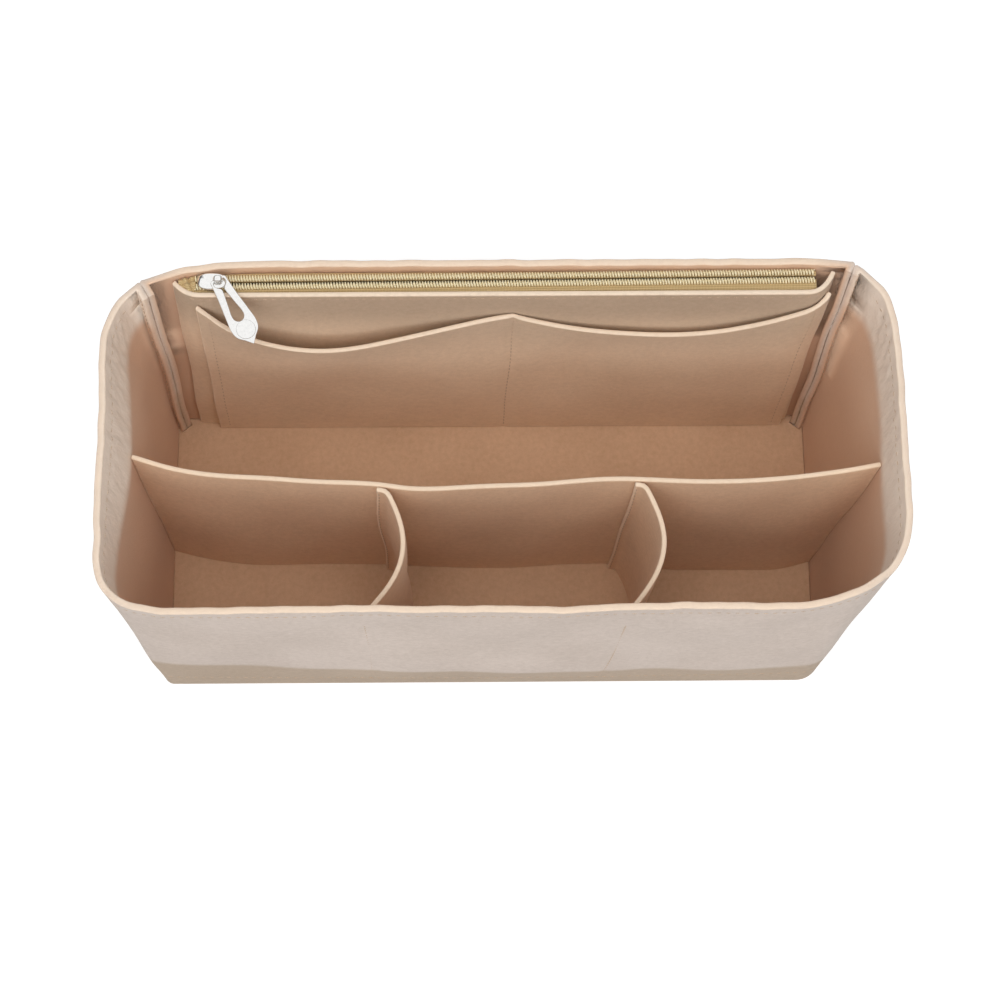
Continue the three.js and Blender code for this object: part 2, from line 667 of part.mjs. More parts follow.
// One tape: level under its coil row and folded down against its felt. wall gives the felt's face at X and
// Z.
function tapeGeometry(sign, wall) {
  const steps = 24;
  const legFoot = tapeTop - tapeLeg;
  const rings = endedShares(steps).map((share) => {
    const x = mix(zipLeft, zipRight, (share + 1) / 2);
    const inner = zipY(x) + (sign * coilGap) / 2;
    const at = (y, z) => new THREE.Vector3(x, y, z);
    const outerFace = (z) => wall(x, z) - sign * layerGap;
    const innerFace = (z) => outerFace(z) - sign * tapeFelt;
    return [
      at(inner, tapeTop), at(outerFace(tapeTop), tapeTop), at(outerFace(legFoot), legFoot),
      at(innerFace(legFoot), legFoot), at(innerFace(tapeFoot), tapeFoot), at(inner, tapeFoot),
    ];
  });
  return loft(rings);
}
addPiece('zip_tape_rear', tapeGeometry(1, backInside), tapeLook);
addPiece('zip_tape_front', tapeGeometry(-1, pouchBack), tapeLook);

// One coil row: a bar whose section swells at each turn and narrows between two turns. Its section is given
// in shares of the half width and of the half height.
const coilSectionShares = [
  [-1, -0.5], [-1, 0.5], [-0.5, 1], [0.5, 1], [1, 0.5], [1, -0.5], [0.5, -1], [-0.5, -1],
];
function coilGeometry(sign) {
  const turns = Math.round((zipRight - zipLeft) / coilPitch);
  const section = (x, groove) => {
    const [w, h] = [coilWidth / 2 - groove, coilHeight / 2 - groove];
    const middleZ = coilFoot + coilHeight / 2;
    return coilSectionShares.map(([y, z]) => {
      return new THREE.Vector3(x, zipY(x) + sign * rowOffset + y * w, middleZ + z * h);
    });
  };
  const rings = [];
  for (let i = 0; i <= turns * 2; i += 1) {
    rings.push(section(mix(zipLeft, zipRight, i / (turns * 2)), i % 2 ? 0 : coilGroove));
  }
  return loft(rings);
}
addPiece('zip_coil_rear', coilGeometry(1), coilLook);
addPiece('zip_coil_front', coilGeometry(-1), coilLook);

// Slider: a plate over the coils, a plate under the tapes, a post between the rows and an arch for the pull
// tab
const wasm = await Module();
wasm.setup();

function solid(geometry) {
  const bare = geometry.clone();
  bare.deleteAttribute('normal');
  bare.deleteAttribute('uv');
  const merged = mergeVertices(bare);
  const vertProperties = new Float32Array(merged.getAttribute('position').array);
  const triVerts = new Uint32Array(merged.getIndex().array);
  return new wasm.Manifold(new wasm.Mesh({ numProp: 3, vertProperties, triVerts }));
}

function geometryOf(manifold) {
  const mesh = manifold.getMesh();
  const geometry = new THREE.BufferGeometry();
  geometry.setAttribute('position', new THREE.BufferAttribute(new Float32Array(mesh.vertProperties), 3));
  geometry.setIndex(new THREE.BufferAttribute(new Uint32Array(mesh.triVerts), 1));
  geometry.computeVertexNormals();
  return geometry;
}

function slab(points, foot, thickness) {
  const geometry = new THREE.ExtrudeGeometry(shapeThrough(points), { depth: thickness, bevelEnabled: false });
  return geometry.translate(0, 0, foot);
}

const plateFoot = coilTop + zipClearance;
const plateTop = plateFoot + plateThickness;
const footPlateTop = tapeFoot - zipClearance;

// Top plate outline: a wide round nose to the left and a narrower tail to the right
function plateOutline(noseWidth, tailWidth, length) {
  const steps = 8;
  const round = (width, x, from) => Array.from({ length: steps + 1 }, (_, i) => {
    const angle = from + (Math.PI * i) / steps;
    return [x + (Math.cos(angle) * width) / 2, (Math.sin(angle) * width) / 2];
  });
  const nose = round(noseWidth, (noseWidth - length) / 2, Math.PI / 2);
  const tail = round(tailWidth, (length - tailWidth) / 2, -Math.PI / 2);
  return [...nose, ...tail];
}

function archGeometry() {
  const steps = 12;
  const sides = 8;
  const bar = Array.from({ length: sides }, (_, i) => {
    const angle = (2 * Math.PI * i) / sides;
    return new THREE.Vector2((Math.cos(angle) * archBar) / 2, (Math.sin(angle) * archBar) / 2);
  });
  const foot = -plateThickness / 2;
  const bend = Array.from({ length: steps + 1 }, (_, i) => {
    const angle = Math.PI * (1 - i / steps);
    const rise = archHeight - archHalfSpan + Math.sin(angle) * archHalfSpan;
    return new THREE.Vector3(Math.cos(angle) * archHalfSpan, 0, rise);
  });
  const path = new THREE.CatmullRomCurve3([
    new THREE.Vector3(-archHalfSpan, 0, foot), ...bend, new THREE.Vector3(archHalfSpan, 0, foot),
  ]);
  return new THREE.ExtrudeGeometry(new THREE.Shape(bar), { steps: steps * 2, extrudePath: path });
}

function sliderGeometry() {
  const topOutline = plateOutline(sliderNoseWidth, sliderTailWidth, sliderLength);
  const footOutline = plateOutline(footPlateWidth, footPlateWidth, sliderLength);
  const topPlate = solid(slab(topOutline, plateFoot, plateThickness));
  const footPlate = solid(slab(footOutline, footPlateTop - footPlateThickness, footPlateThickness));
  const postFoot = footPlateTop - footPlateThickness / 2;
  const post = new THREE.BoxGeometry(postLength, postThickness, plateFoot + plateThickness / 2 - postFoot);
  post.translate(0, 0, (plateFoot + plateThickness / 2 + postFoot) / 2);
  const arch = archGeometry().translate(archAhead, 0, plateTop);
  return geometryOf(topPlate.add(footPlate).add(solid(post)).add(solid(arch)));
}
const sliderPlace = zipLeft + sliderParking;
const slider = addPiece('zip_slider', sliderGeometry(), chromeLook);
slider.position.set(sliderPlace, zipY(sliderPlace), 0);

// Pull tab, drawn lying along +X from its pivot: two legs that open into a round end with a point. The
// round end and the point's shoulder are in shares of the tab's half width, the window's end in shares of
// its own half width.
const tabEndShares = [[-1, 0.92], [0, 1], [0.55, 0.86]];
const tabPointShares = [0.45, 0.4];
const tabWindowShares = [0.3, 0.7];
function tabOutline() {
  const half = tabWidth / 2;
  const root = tabRootWidth / 2;
  const end = tabThickness / 2;
  const round = tabEndShares.map(([x, y]) => [tabShoulder + x * half, y * half]);
  const point = [tabLength - tabPointShares[0] * half, tabPointShares[1] * half];
  const side = [[-end, root], [tabLegWidth + end, root], ...round, point, [tabLength, 0]];
  return [...side, ...side.slice(0, -1).reverse().map(([x, y]) => [x, -y])];
}

function tabWindow() {
  const start = tabThickness / 2;
  const half = tabRootWidth / 2 - tabLegWidth;
  const end = start + tabWindowLength;
  const wide = tabWindowWidth / 2;
  const [back, out] = tabWindowShares;
  const tip = [[end - wide, wide], [end - wide * back, wide * out], [end, 0]];
  const side = [[start, half], [start + archHalfSpan, half], ...tip];
  return [...side, ...side.slice(0, -1).reverse().map(([x, y]) => [x, -y])].reverse();
}

const tabShape = shapeThrough(tabOutline());
tabShape.holes.push(new THREE.Path(tabWindow().map(([x, y]) => new THREE.Vector2(x, y))));
const tabGeometry = new THREE.ExtrudeGeometry(tabShape, { depth: tabThickness, bevelEnabled: false });
tabGeometry.translate(0, 0, -tabThickness / 2);
const tab = addPiece('pull_tab', tabGeometry, chromeLook);
const tabPivot = new THREE.Vector3(sliderPlace + archAhead, zipY(sliderPlace), plateTop + tabPivotRise);
tab.position.copy(tabPivot);
tab.rotation.order = 'ZYX';
tab.rotation.set(0, radians(tabDroop), radians(tabTurn - 90));

// Threads: each is laid on the face that its seam shows on
const threadLift = threadRadius + threadGap;
const wallFace = wallFelt / 2 + threadLift;
const panelFace = panelFelt / 2 + threadLift;

// A row that follows an upright sheet at one height, lifted off its middle line
function rowAlong(line, lift) {
  return line.map((point, i) => point.clone().addScaledVector(levelNormal(line, i), lift));
}

// A seam that climbs a sheet from one height to another, through place(z)
function seamUp(from, to, place) {
  const steps = 12;
  return Array.from({ length: steps + 1 }, (_, i) => place(mix(from, to, i / steps)));
}

// The rows round the walls stop short of the two corner seams
const wrapRow = (z) => threadThrough(rowAlong(wrapRun(z).between, -wallFace));
const backRow = (z) => threadThrough(rowAlong(backRun(z).between, wallFace));
const rimStitchZ = wallHeight - rimStitchDrop;
addPiece('rim_stitch_wraparound', wrapRow(rimStitchZ), threadLook);
addPiece('rim_stitch_back', backRow(rimStitchZ), threadLook);
addPiece('base_stitch_wraparound', wrapRow(baseStitchHeight), threadLook);
addPiece('base_stitch_back', backRow(baseStitchHeight), threadLook);

// Seams by which the dividers are sewn to the walls, on the outer faces
const seamFoot = baseStitchHeight + seamStandOff;
const seamHead = dividerHeight - seamStandOff;
for (const [side, { frontFoot, frontHead }] of crossDividers) {
  const seam = seamUp(seamFoot, seamHead, (z) => {
    const x = mix(frontFoot, frontHead, z / dividerHeight);
    return new THREE.Vector3(x, frontFace(x, z, outer) - threadLift, z);
  });
  addPiece(`${side}_cross_divider_seam`, threadThrough(seam), threadLook);
}
for (const [side, sign] of [['left', -1], ['right', 1]]) {
  const seam = seamUp(seamFoot, seamHead, (z) => {
    const y = dividerEndY(sign, z);
    return new THREE.Vector3(sideFace(sign, y, z, outer) + sign * threadLift, y, z);
  });
  addPiece(`long_divider_seam_${side}`, threadThrough(seam), threadLook);
}

// Flange seams, on the flanges' front faces
for (const [side, { backFoot, backHead }] of crossDividers) {
  const seam = seamUp(standing + seamStandOff, seamHead, (z) => {
    const x = mix(backFoot, backHead, z / dividerHeight) - flangeBend - flangeWidth / 2;
    return new THREE.Vector3(x, flangeFace(x, z) - panelFace, z);
  });
  addPiece(`${side}_flange_seam`, threadThrough(seam), threadLook);
}

// Slip pocket seams, on the pockets' front
for (const [name, share] of [['left', -1 + slipSideShare], ['centre', 0], ['right', 1 - slipSideShare]]) {
  const seam = seamUp(standing + seamStandOff, slipTop(share) - seamStandOff, (z) => {
    const ahead = slipPoint(share + slipSideShare / 2, z);
    const behind = slipPoint(share - slipSideShare / 2, z);
    const outward = new THREE.Vector3(ahead.y - behind.y, behind.x - ahead.x, 0).normalize();
    return slipPoint(share, z).addScaledVector(outward, panelFace);
  });
  addPiece(`slip_pocket_seam_${name}`, threadThrough(seam), threadLook);
}

// The front tape's seam along the top of the zip pocket panel
const tapeRow = pouchLine(pouchHeight - tapeStitchDrop).slice(pouchEndSteps / 2, -pouchEndSteps / 2);
addPiece('zip_tape_stitch', threadThrough(rowAlong(tapeRow, -panelFace)), threadLook);

// Corner seams, on the allowances' faces that look into the compartments
for (const [side, fromEnd] of [['left', false], ['right', true]]) {
  const seam = seamUp(standing + seamStandOff, wallHeight - seamStandOff, (z) => {
    const line = wrapRun(z).whole;
    const [tip, bend] = fromEnd ? line.slice(-2).reverse() : line;
    const normal = new THREE.Vector3(tip.y - bend.y, bend.x - tip.x, 0).normalize();
    return tip.clone().lerp(bend, seamShare).addScaledVector(normal, fromEnd ? -wallFace : wallFace);
  });
  addPiece(`corner_seam_${side}`, threadThrough(seam), threadLook);
}

export default insert;
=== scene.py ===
"""Looks of the felt handbag insert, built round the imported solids.

Shapes are worked out in millimetres, with +Z up and the front facing -Y, and become metres when a mesh is made.
"""
import math

import bpy
import numpy as np
from mathutils import Matrix


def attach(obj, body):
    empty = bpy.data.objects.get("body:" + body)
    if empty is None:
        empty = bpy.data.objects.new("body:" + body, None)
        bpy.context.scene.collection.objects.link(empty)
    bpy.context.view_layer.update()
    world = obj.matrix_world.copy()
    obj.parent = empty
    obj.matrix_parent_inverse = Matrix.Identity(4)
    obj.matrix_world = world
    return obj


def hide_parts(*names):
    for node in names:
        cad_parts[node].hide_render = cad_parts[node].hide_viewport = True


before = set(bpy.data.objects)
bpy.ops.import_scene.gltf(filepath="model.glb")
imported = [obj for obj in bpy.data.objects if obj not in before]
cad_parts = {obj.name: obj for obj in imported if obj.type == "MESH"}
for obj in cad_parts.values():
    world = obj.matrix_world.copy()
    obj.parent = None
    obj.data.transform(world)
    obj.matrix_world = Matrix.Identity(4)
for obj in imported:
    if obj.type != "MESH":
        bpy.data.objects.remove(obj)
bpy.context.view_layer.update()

MM = 0.001
SEED = 11
rng = np.random.default_rng(SEED)

# Shell, in millimetres
WALL_HEIGHT = 150
WALL_FELT = 2.8
FLOOR_FELT = 2.8
PANEL_FELT = 2
LAYER_GAP = 0.3
SEAM_PRESS = 0.04  # between the two layers of a corner seam
FLOOR_PRESS = 0.1  # how far the floor is pressed into the walls
BASE_BOX = (-146.25, 146.25, -63.5, 63.5)  # left, right, front, back
RIM_BOX = (-155.75, 163.75, -68.5, 77.5)
RIM_LEAN = 4
# Size along X, size along Y and squareness of each corner, by the signs of its X and Y
BASE_CORNERS = {(-1, -1): (4.5, 4.5, 2), (1, -1): (11, 11, 2), (1, 1): (4.5, 4.5, 2), (-1, 1): (4.5, 4.5, 2)}
RIM_CORNERS = {(-1, -1): (30, 28, 2.6), (1, -1): (80, 43, 3.1), (1, 1): (32, 44, 2.5), (-1, 1): (74, 41, 3)}
BASE_SEAMS = (45, 45)  # degrees round the back corners at which the left and right corner seams meet them
RIM_SEAMS = (43, 68)
BELLY_HEIGHT = 42
FRONT_BELLY = 2.6
LEFT_TUCK = 5
RIGHT_TUCK = 0.8
DIVIDER_HEIGHT = 124
STANDING = FLOOR_FELT + LAYER_GAP
RIM_STITCH_Z = 143
RIM_GROOVE = (0.28, 1.1)  # depth and half width
BASE_STITCH_Z = 16
BASE_GROOVE = (0.3, 1.1)

# Seam allowances at the back corners, each pair at the foot and at the rim
ALLOWANCE_LENGTHS = {"left": (6.5, 6.5), "right": (6.5, 3)}
ALLOWANCE_REACH = (7.5, 3.6)
ALLOWANCE_STATION = 9
ALLOWANCE_BEND = 1.6
ALLOWANCE_TURNS = {"left": np.array([(0.64, -0.77), (0.5, -0.87)]),
                   "right": np.array([(-0.6, -0.8), (-0.3, -0.95)])}

# Dividers
DIVIDER_WAVES = np.array([
    (-1, -1.7, 3.4), (-0.9, -5.5, -0.6), (-0.75, -8.5, -4.3), (-0.5, -8.2, -7.2), (-0.35, -8.6, -9.2),
    (-0.25, -9.3, -11.2), (-0.1, -10.3, -10.4), (0.05, -10.6, -8.9), (0.25, -9, -7.6), (0.4, -9.2, -7.5),
    (0.55, -11.8, -8.4), (0.75, -12.2, -7.3), (0.9, -12, -5), (1, -8.6, -1.8)])
CROSS_ENDS = {"left": (-43.4, -43.3, -51.5, -51.5), "right": (56.1, 61.8, 45.7, 52.7)}
CROSS_BULGE = 11
CROSS_POINTS = 41
CROSS_ROOM = 0.8
FLANGE_WIDTH = 1.6
FLANGE_BEND = 2.4
SEAM_RISE = (18.5, 121.5)  # foot and head of the dividers' seams
SEAM_FOOT = STANDING + 2.5  # foot of the seams that start just above the floor
CORNER_SEAM_HEAD = 147.5

# Pouch, slip pockets and zip
POUCH_HEIGHT = 147
POUCH_ENDS = {-1: (-133.25, -128), 1: (135.25, 138)}  # X of its left and right ends, at the foot and at the rim
POUCH_DEPTHS = (0.8, 9.4)
POUCH_RUN = 12
SLIP_INSETS = (9, 2.5)
SLIP_MIDDLE = 5.5
SLIP_HEIGHTS = (139.5, 130)  # at its ends and at its middle
SLIP_DIPS = (23.8, 19.8)
SLIP_SKEWS = (1.6, 1.1)
SLIP_POWERS = (0.8, (1, 0.9))  # at the middle, and at the left and right ends
SLIP_OPEN = (7.5, 2.5)
ZIP_ENDS = (-120, 131)
ZIP_SET_BACK = (-0.7, 1.1)
COIL_GAP = 1.2
COIL_WIDTH = 2.5
COIL_HEIGHT = 2.2
COIL_TOP = WALL_HEIGHT - 1.9
TAPE_TOP = COIL_TOP - COIL_HEIGHT - 0.25
TAPE_FELT = 0.5
TAPE_LEG = 9
TAPE_SEAM_Z = POUCH_HEIGHT - 3
TAPE_SEAM_ENDS = (-122.7, 132.6)
SLIDER_X = -112
PLATE_FOOT = COIL_TOP + 0.25
PLATE_TOP = PLATE_FOOT + 1
PIVOT_X = SLIDER_X + 2
PIVOT_Z = PLATE_TOP + 1.05
PLATE_ENDS = (6.4, 5.4)  # behind and ahead of the slider's middle
PLATE_SIDES = (3.75, 3.3)
SKIRT_FOOT = 146.9
SLIDER_FOOT = 144.5
BRIDGE_FOOT = 148.9
BRIDGE_SIZE = (2.02, 3.12)  # half its length, and its height
TAB_TURN = 30
TAB_DROOP = 13


# Small helpers


def mix(a, b, t):
    return a + (b - a) * t


def smooth(low, high, value):
    """0 below low, 1 above high, and a smooth step between."""
    t = np.clip((value - low) / (high - low), 0, 1)
    return t * t * (3 - 2 * t)


def unit(vectors):
    return vectors / np.maximum(np.linalg.norm(vectors, axis=-1, keepdims=True), 1e-12)


def bump_share(share):
    """0 at both ends of a run and 1 in its middle."""
    return np.sin(np.pi * share) ** 2


def tent(z, peak):
    """0 at the foot, 1 at the peak, 0 at the rim."""
    return np.where(z < peak, z / peak, (WALL_HEIGHT - z) / (WALL_HEIGHT - peak))


EDGE_STEPS = np.array([0, 0.12, 0.3, 0.55, 0.9, 1.5])


def graded(low, high, step):
    """Values from low to high about one step apart, with closer ones at both ends for a rounded edge."""
    inner = np.linspace(low + EDGE_STEPS[-1], high - EDGE_STEPS[-1], max(int((high - low) / step), 2))
    return np.concatenate([low + EDGE_STEPS[:-1], inner, high - EDGE_STEPS[-2::-1]])


def run_along(points, axis=0):
    """How far each point of a line or a grid lies from the first one, measured along an axis."""
    steps = np.linalg.norm(np.diff(points, axis=axis), axis=-1)
    return np.concatenate([np.zeros_like(steps.take([0], axis)), np.cumsum(steps, axis)], axis)


def along(points, distances=None, shares=None):
    """Points at distances, or at shares of the whole length, along an open line of points."""
    run = run_along(points)
    at = distances if shares is None else np.asarray(shares) * run[-1]
    return np.stack([np.interp(at, run, points[:, c]) for c in range(points.shape[1])], 1)


def at_heights(plan, z):
    """Rows of plan points, each row at its height."""
    return np.concatenate([plan, np.broadcast_to(z[:, None, None], plan.shape[:2] + (1,))], 2)


def raised(points, lift):
    return points + np.stack([0 * lift, 0 * lift, lift], -1)


# Plan of the shell


def plan_runs(box, corners, seams):
    """The walls' middle line in plan as four runs: left side, front, right side and back, from seam to seam. A
    rounded corner's line is its sizes times cosine and sine to the power 2 / squareness."""
    inset = WALL_FELT / 2
    left, right, front, back = np.array(box) + (inset, -inset, inset, -inset)

    def arc(sign_x, sign_y, start, end):
        size_x, size_y, squareness = corners[sign_x, sign_y]
        size_x, size_y = size_x - inset, size_y - inset
        angle = np.radians(np.linspace(start, end, 41))
        x = size_x * np.cos(angle).clip(0) ** (2 / squareness)
        y = size_y * np.sin(angle).clip(0) ** (2 / squareness)
        middle_x = left + size_x if sign_x < 0 else right - size_x
        middle_y = front + size_y if sign_y < 0 else back - size_y
        return np.stack([middle_x + sign_x * x, middle_y + sign_y * y], 1)

    return {"left": np.concatenate([arc(-1, 1, seams[0], 0), arc(-1, -1, 0, 45)]),
            "front": np.concatenate([arc(-1, -1, 45, 90), arc(1, -1, 90, 45)]),
            "right": np.concatenate([arc(1, -1, 45, 0), arc(1, 1, 0, seams[1])]),
            "back": np.concatenate([arc(1, 1, seams[1], 90), arc(-1, 1, 90, seams[0])])}


BASE_RUNS = plan_runs(BASE_BOX, BASE_CORNERS, BASE_SEAMS)
RIM_RUNS = plan_runs(RIM_BOX, RIM_CORNERS, RIM_SEAMS)
HALF_SHARES = [0, 0.006, 0.012, 0.03, 0.05, 0.075, 0.1, 0.13, 0.165, 0.21, 0.27, 0.34, 0.42]
RUN_SHARES = np.array([*HALF_SHARES, 0.5, *[1 - s for s in reversed(HALF_SHARES)]])
FINE = 7
FINE_PLACES = np.arange((len(RUN_SHARES) - 1) * FINE + 1) / FINE
FINE_SHARES = np.interp(FINE_PLACES, np.arange(len(RUN_SHARES)), RUN_SHARES)
# How far each wall's middle sags, at which height most, and which way
SAGS = {"left": (-LEFT_TUCK, DIVIDER_HEIGHT, (-1.0, 0)), "right": (-RIGHT_TUCK, DIVIDER_HEIGHT, (1.0, 0)),
        "front": (FRONT_BELLY, BELLY_HEIGHT, (0, -1.0)), "back": (0, BELLY_HEIGHT, (0, 1.0))}


def wall_run(run, z, shares):
    """Middle surface of one wall, (levels, stations, 3): base line to rim line by height, pushed by its sag."""
    z = np.atleast_1d(np.asarray(z, float))
    base, rim = (along(runs[run], shares=shares)[None] for runs in (BASE_RUNS, RIM_RUNS))
    depth, peak, way = SAGS[run]
    reach = depth * tent(z, peak)[:, None] * bump_share(shares)[None]
    return at_heights(mix(base, rim, (z / WALL_HEIGHT)[:, None, None]) + reach[..., None] * np.array(way), z)


def inner_face(run, x, z):
    """Y of the front or the back wall's inner face at X and Z."""
    line = wall_run(run, z, FINE_SHARES)[0]
    if run == "back":
        return np.interp(x, line[::-1, 0], line[::-1, 1]) - WALL_FELT / 2
    return np.interp(x, line[:, 0], line[:, 1]) + WALL_FELT / 2


def wrap_line(z, shares):
    runs = [wall_run(run, z, shares) for run in ("left", "front", "right")]
    return np.concatenate([runs[0], runs[1][:, 1:], runs[2][:, 1:]], 1)


def back_line(z, shares):
    return wall_run("back", z, shares)[:, ::-1]


BEND_STEPS = 10


def round_bend(corner, first, second, radius):
    """Points of a round bend of a radius between two ways that leave a corner."""
    half = math.acos(float(np.clip(first @ second, -1, 1))) / 2
    middle = corner + unit(first + second) * radius / math.sin(half)
    start = corner + first * radius / math.tan(half) - middle
    end = corner + second * radius / math.tan(half) - middle
    begin = math.atan2(start[1], start[0])
    sweep = np.sign(start[0] * end[1] - start[1] * end[0]) * (math.pi - 2 * half)
    angle = begin + sweep * np.linspace(0, 1, BEND_STEPS + 1)
    return np.stack([middle[0] + np.cos(angle) * radius, middle[1] + np.sin(angle) * radius,
                     np.full(BEND_STEPS + 1, corner[2])], 1)


def crossing(a, u, b, v):
    """Where the line through a along u meets the line through b along v, in plan."""
    reach = ((b[0] - a[0]) * v[1] - (b[1] - a[1]) * v[0]) / (u[0] * v[1] - u[1] * v[0])
    return a + u * reach


TIP_STEPS = np.array([0, 0.12, 0.3, 0.55, 0.9, 1.5, 2.3, 3.2, 4.2])
TIP_COUNT = len(TIP_STEPS) + BEND_STEPS + 1  # points of an allowance and its bend


def allowance(end, line, foot, side):
    """One layer's allowance from its tip to the end of its bend, and the wall's first station after it."""
    seam = line[0]
    rise = seam[2] / WALL_HEIGHT
    turn = unit(np.append(mix(*ALLOWANCE_TURNS[end], rise), 0))
    square = np.array([-turn[1], turn[0], 0])
    i = int(np.argmax(np.linalg.norm(line - seam, axis=1) > mix(*ALLOWANCE_REACH, rise)))
    way = unit(line[i] - line[i - 1])
    knee = crossing(seam + square * side * (WALL_FELT + SEAM_PRESS) / 2, turn, line[i], way)
    tip = knee + turn * mix(*ALLOWANCE_LENGTHS[end], rise)
    bend = round_bend(knee, turn, way, ALLOWANCE_BEND)
    room = min(np.linalg.norm(bend[0] - tip) * 0.9 / TIP_STEPS[-1], 1)
    start = tip + unit(bend[0] - tip) * TIP_STEPS[:, None] * room
    station = int(np.argmax(np.linalg.norm(foot - foot[0], axis=1) > ALLOWANCE_STATION))
    return np.concatenate([start, bend]), station


def seamed_wall(line_at, side, levels):
    """Middle surface of a wall with its two allowances: (levels, stations, 3)."""
    coarse, fine = line_at(levels, RUN_SHARES), line_at(levels, FINE_SHARES)
    foot = line_at(np.zeros(1), RUN_SHARES)[0]
    rows = []
    for line, dense in zip(coarse, fine):
        start, first = allowance("left", line, foot, side)
        end, last = allowance("right", line[::-1], foot[::-1], -side)
        rows.append(np.concatenate([start, dense[first * FINE:(len(line) - last - 1) * FINE + 1], end[::-1]]))
    return np.stack(rows)


def strides(grid):
    """The way from the station before each one to the station after it."""
    padded = np.concatenate([grid[:, :1], grid, grid[:, -1:]], 1)
    return padded[:, 2:] - padded[:, :-2]


def level_normals(grid):
    """Level normals of upright sheets, square to the line between the stations beside each."""
    step = strides(grid)
    return unit(np.stack([-step[..., 1], step[..., 0], np.zeros(step.shape[:2])], 2))


# Soft unevenness, the same for every sheet so that layers keep their distance

WAVE_COUNT = 12
WAVE_WAYS = unit(rng.normal(size=(WAVE_COUNT, 3))) / rng.uniform(38, 110, (WAVE_COUNT, 1))
WAVE_PHASES = rng.uniform(0, 2 * np.pi, (2, WAVE_COUNT))
DRIFT = 0.16


def drift(points):
    """Slow unevenness: twelve sine waves through space, added up, fading to nothing at the foot and by the zip."""
    turn = 2 * np.pi * points @ WAVE_WAYS.T
    fade = smooth(2, 40, points[..., 2]) * (1 - smooth(40, 60, points[..., 1]) * smooth(90, 130, points[..., 2]))
    push = np.stack([np.sin(turn + phase).sum(-1) for phase in WAVE_PHASES], -1) * DRIFT * fade[..., None]
    return points + np.concatenate([push, np.zeros(points.shape[:-1] + (1,))], -1)


SEAM_POINTS = [wall_run(run, (0, WALL_HEIGHT), np.array([share]))[:, 0]
               for run, share in (("left", 0.0), ("right", 1.0))]


def near_corner_seams(points, width):
    """1 at the two back corner seams, fading with the distance from them in plan."""
    rise = (points[..., 2] / WALL_HEIGHT)[..., None]
    found = 0
    for low, high in SEAM_POINTS:
        away = np.linalg.norm(points[..., :2] - mix(low[:2], high[:2], rise), axis=-1)
        found = np.maximum(found, np.exp(-((away / width) ** 2)))
    return found


def ripple(z, *lengths):
    """The mean of sine waves of these lengths, each starting at a place of its own."""
    return sum(np.sin(2 * np.pi * z / length + 7 * length) for length in lengths) / len(lengths)


def corner_pucker(points):
    """The corner seams draw the felt up: short waves by height, strong at the seams and gone 20 mm from them."""
    strength = near_corner_seams(points, 13) * smooth(60, 135, points[..., 2])
    move = strength * 0.12 * ripple(points[..., 2], 8.3, 5.1, 3.7)
    return points + np.stack([move, 0.5 * move, np.zeros_like(move)], -1)


# Meshes


def volume_of(points, quads):
    """Six times the volume within the quads, negative where they face inwards."""
    a, b, c, d = (points[quads[:, k]] for k in range(4))
    return (np.einsum("ij,ij->i", a, np.cross(b, c)) + np.einsum("ij,ij->i", a, np.cross(c, d))).sum()


def put(name, data):
    """A new object in the scene, at the origin."""
    thing = bpy.data.objects.new(name, data)
    bpy.context.scene.collection.objects.link(thing)
    return thing


def make_piece(name, points, quads, material, nodes, body="insert_body", values=None, uv=None,
               turn_out=True):
    """A mesh piece from points in millimetres and faces, turned out where asked, riding on a body."""
    if turn_out and volume_of(points, quads) < 0:
        quads = quads[:, ::-1]
    mesh = bpy.data.meshes.new(name)
    mesh.from_pydata((points * MM).tolist(), [], quads if isinstance(quads, list) else quads.tolist())
    mesh.polygons.foreach_set("use_smooth", np.ones(len(mesh.polygons), bool))
    for key, value in (values or {}).items():
        layer = mesh.attributes.new(key, "FLOAT", "POINT")
        layer.data.foreach_set("value", np.asarray(value, np.float32).ravel())
    if uv is not None:
        corner = np.zeros(len(mesh.loops), np.int32)
        mesh.loops.foreach_get("vertex_index", corner)
        mesh.uv_layers.new(name="cloth").data.foreach_set("uv", uv[corner].astype(np.float32).ravel())
    mesh.materials.append(material)
    mesh.update()
    piece = put(name, mesh)
    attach(piece, body)
    if nodes:
        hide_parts(*nodes)
    return piece


def grid_quads(rows, columns, wrap_columns=False, wrap_rows=False):
    """Quads of a grid of points numbered row by row, which may close on itself either way."""
    r = np.arange(rows if wrap_rows else rows - 1)[:, None]
    c = np.arange(columns if wrap_columns else columns - 1)[None]
    r2, c2 = (r + 1) % rows, (c + 1) % columns
    return np.stack([r * columns + c, r * columns + c2, r2 * columns + c2, r2 * columns + c], -1).reshape(-1, 4)


def border_distance(middle):
    """Distance of each grid point from the sheet's nearest cut edge, along the grid lines."""
    run, rise = run_along(middle, 1), run_along(middle)
    ends = np.minimum(run, run[:, -1:] - run)
    levels = np.minimum(rise, rise[-1:] - rise)
    return np.minimum(ends, levels), run, rise


def round_share(inward, size):
    """Share of the full thickness by the distance from an edge: a quarter circle, then 1."""
    return np.sqrt(1 - (1 - np.clip(inward / size, 0, 1)) ** 2)


def border_of(rows, columns):
    """Numbers of the points round a grid's border, in order."""
    index = np.arange(rows * columns).reshape(rows, columns)
    return np.concatenate([index[0, :-1], index[:-1, -1], index[-1, :0:-1], index[:0:-1, 0]])


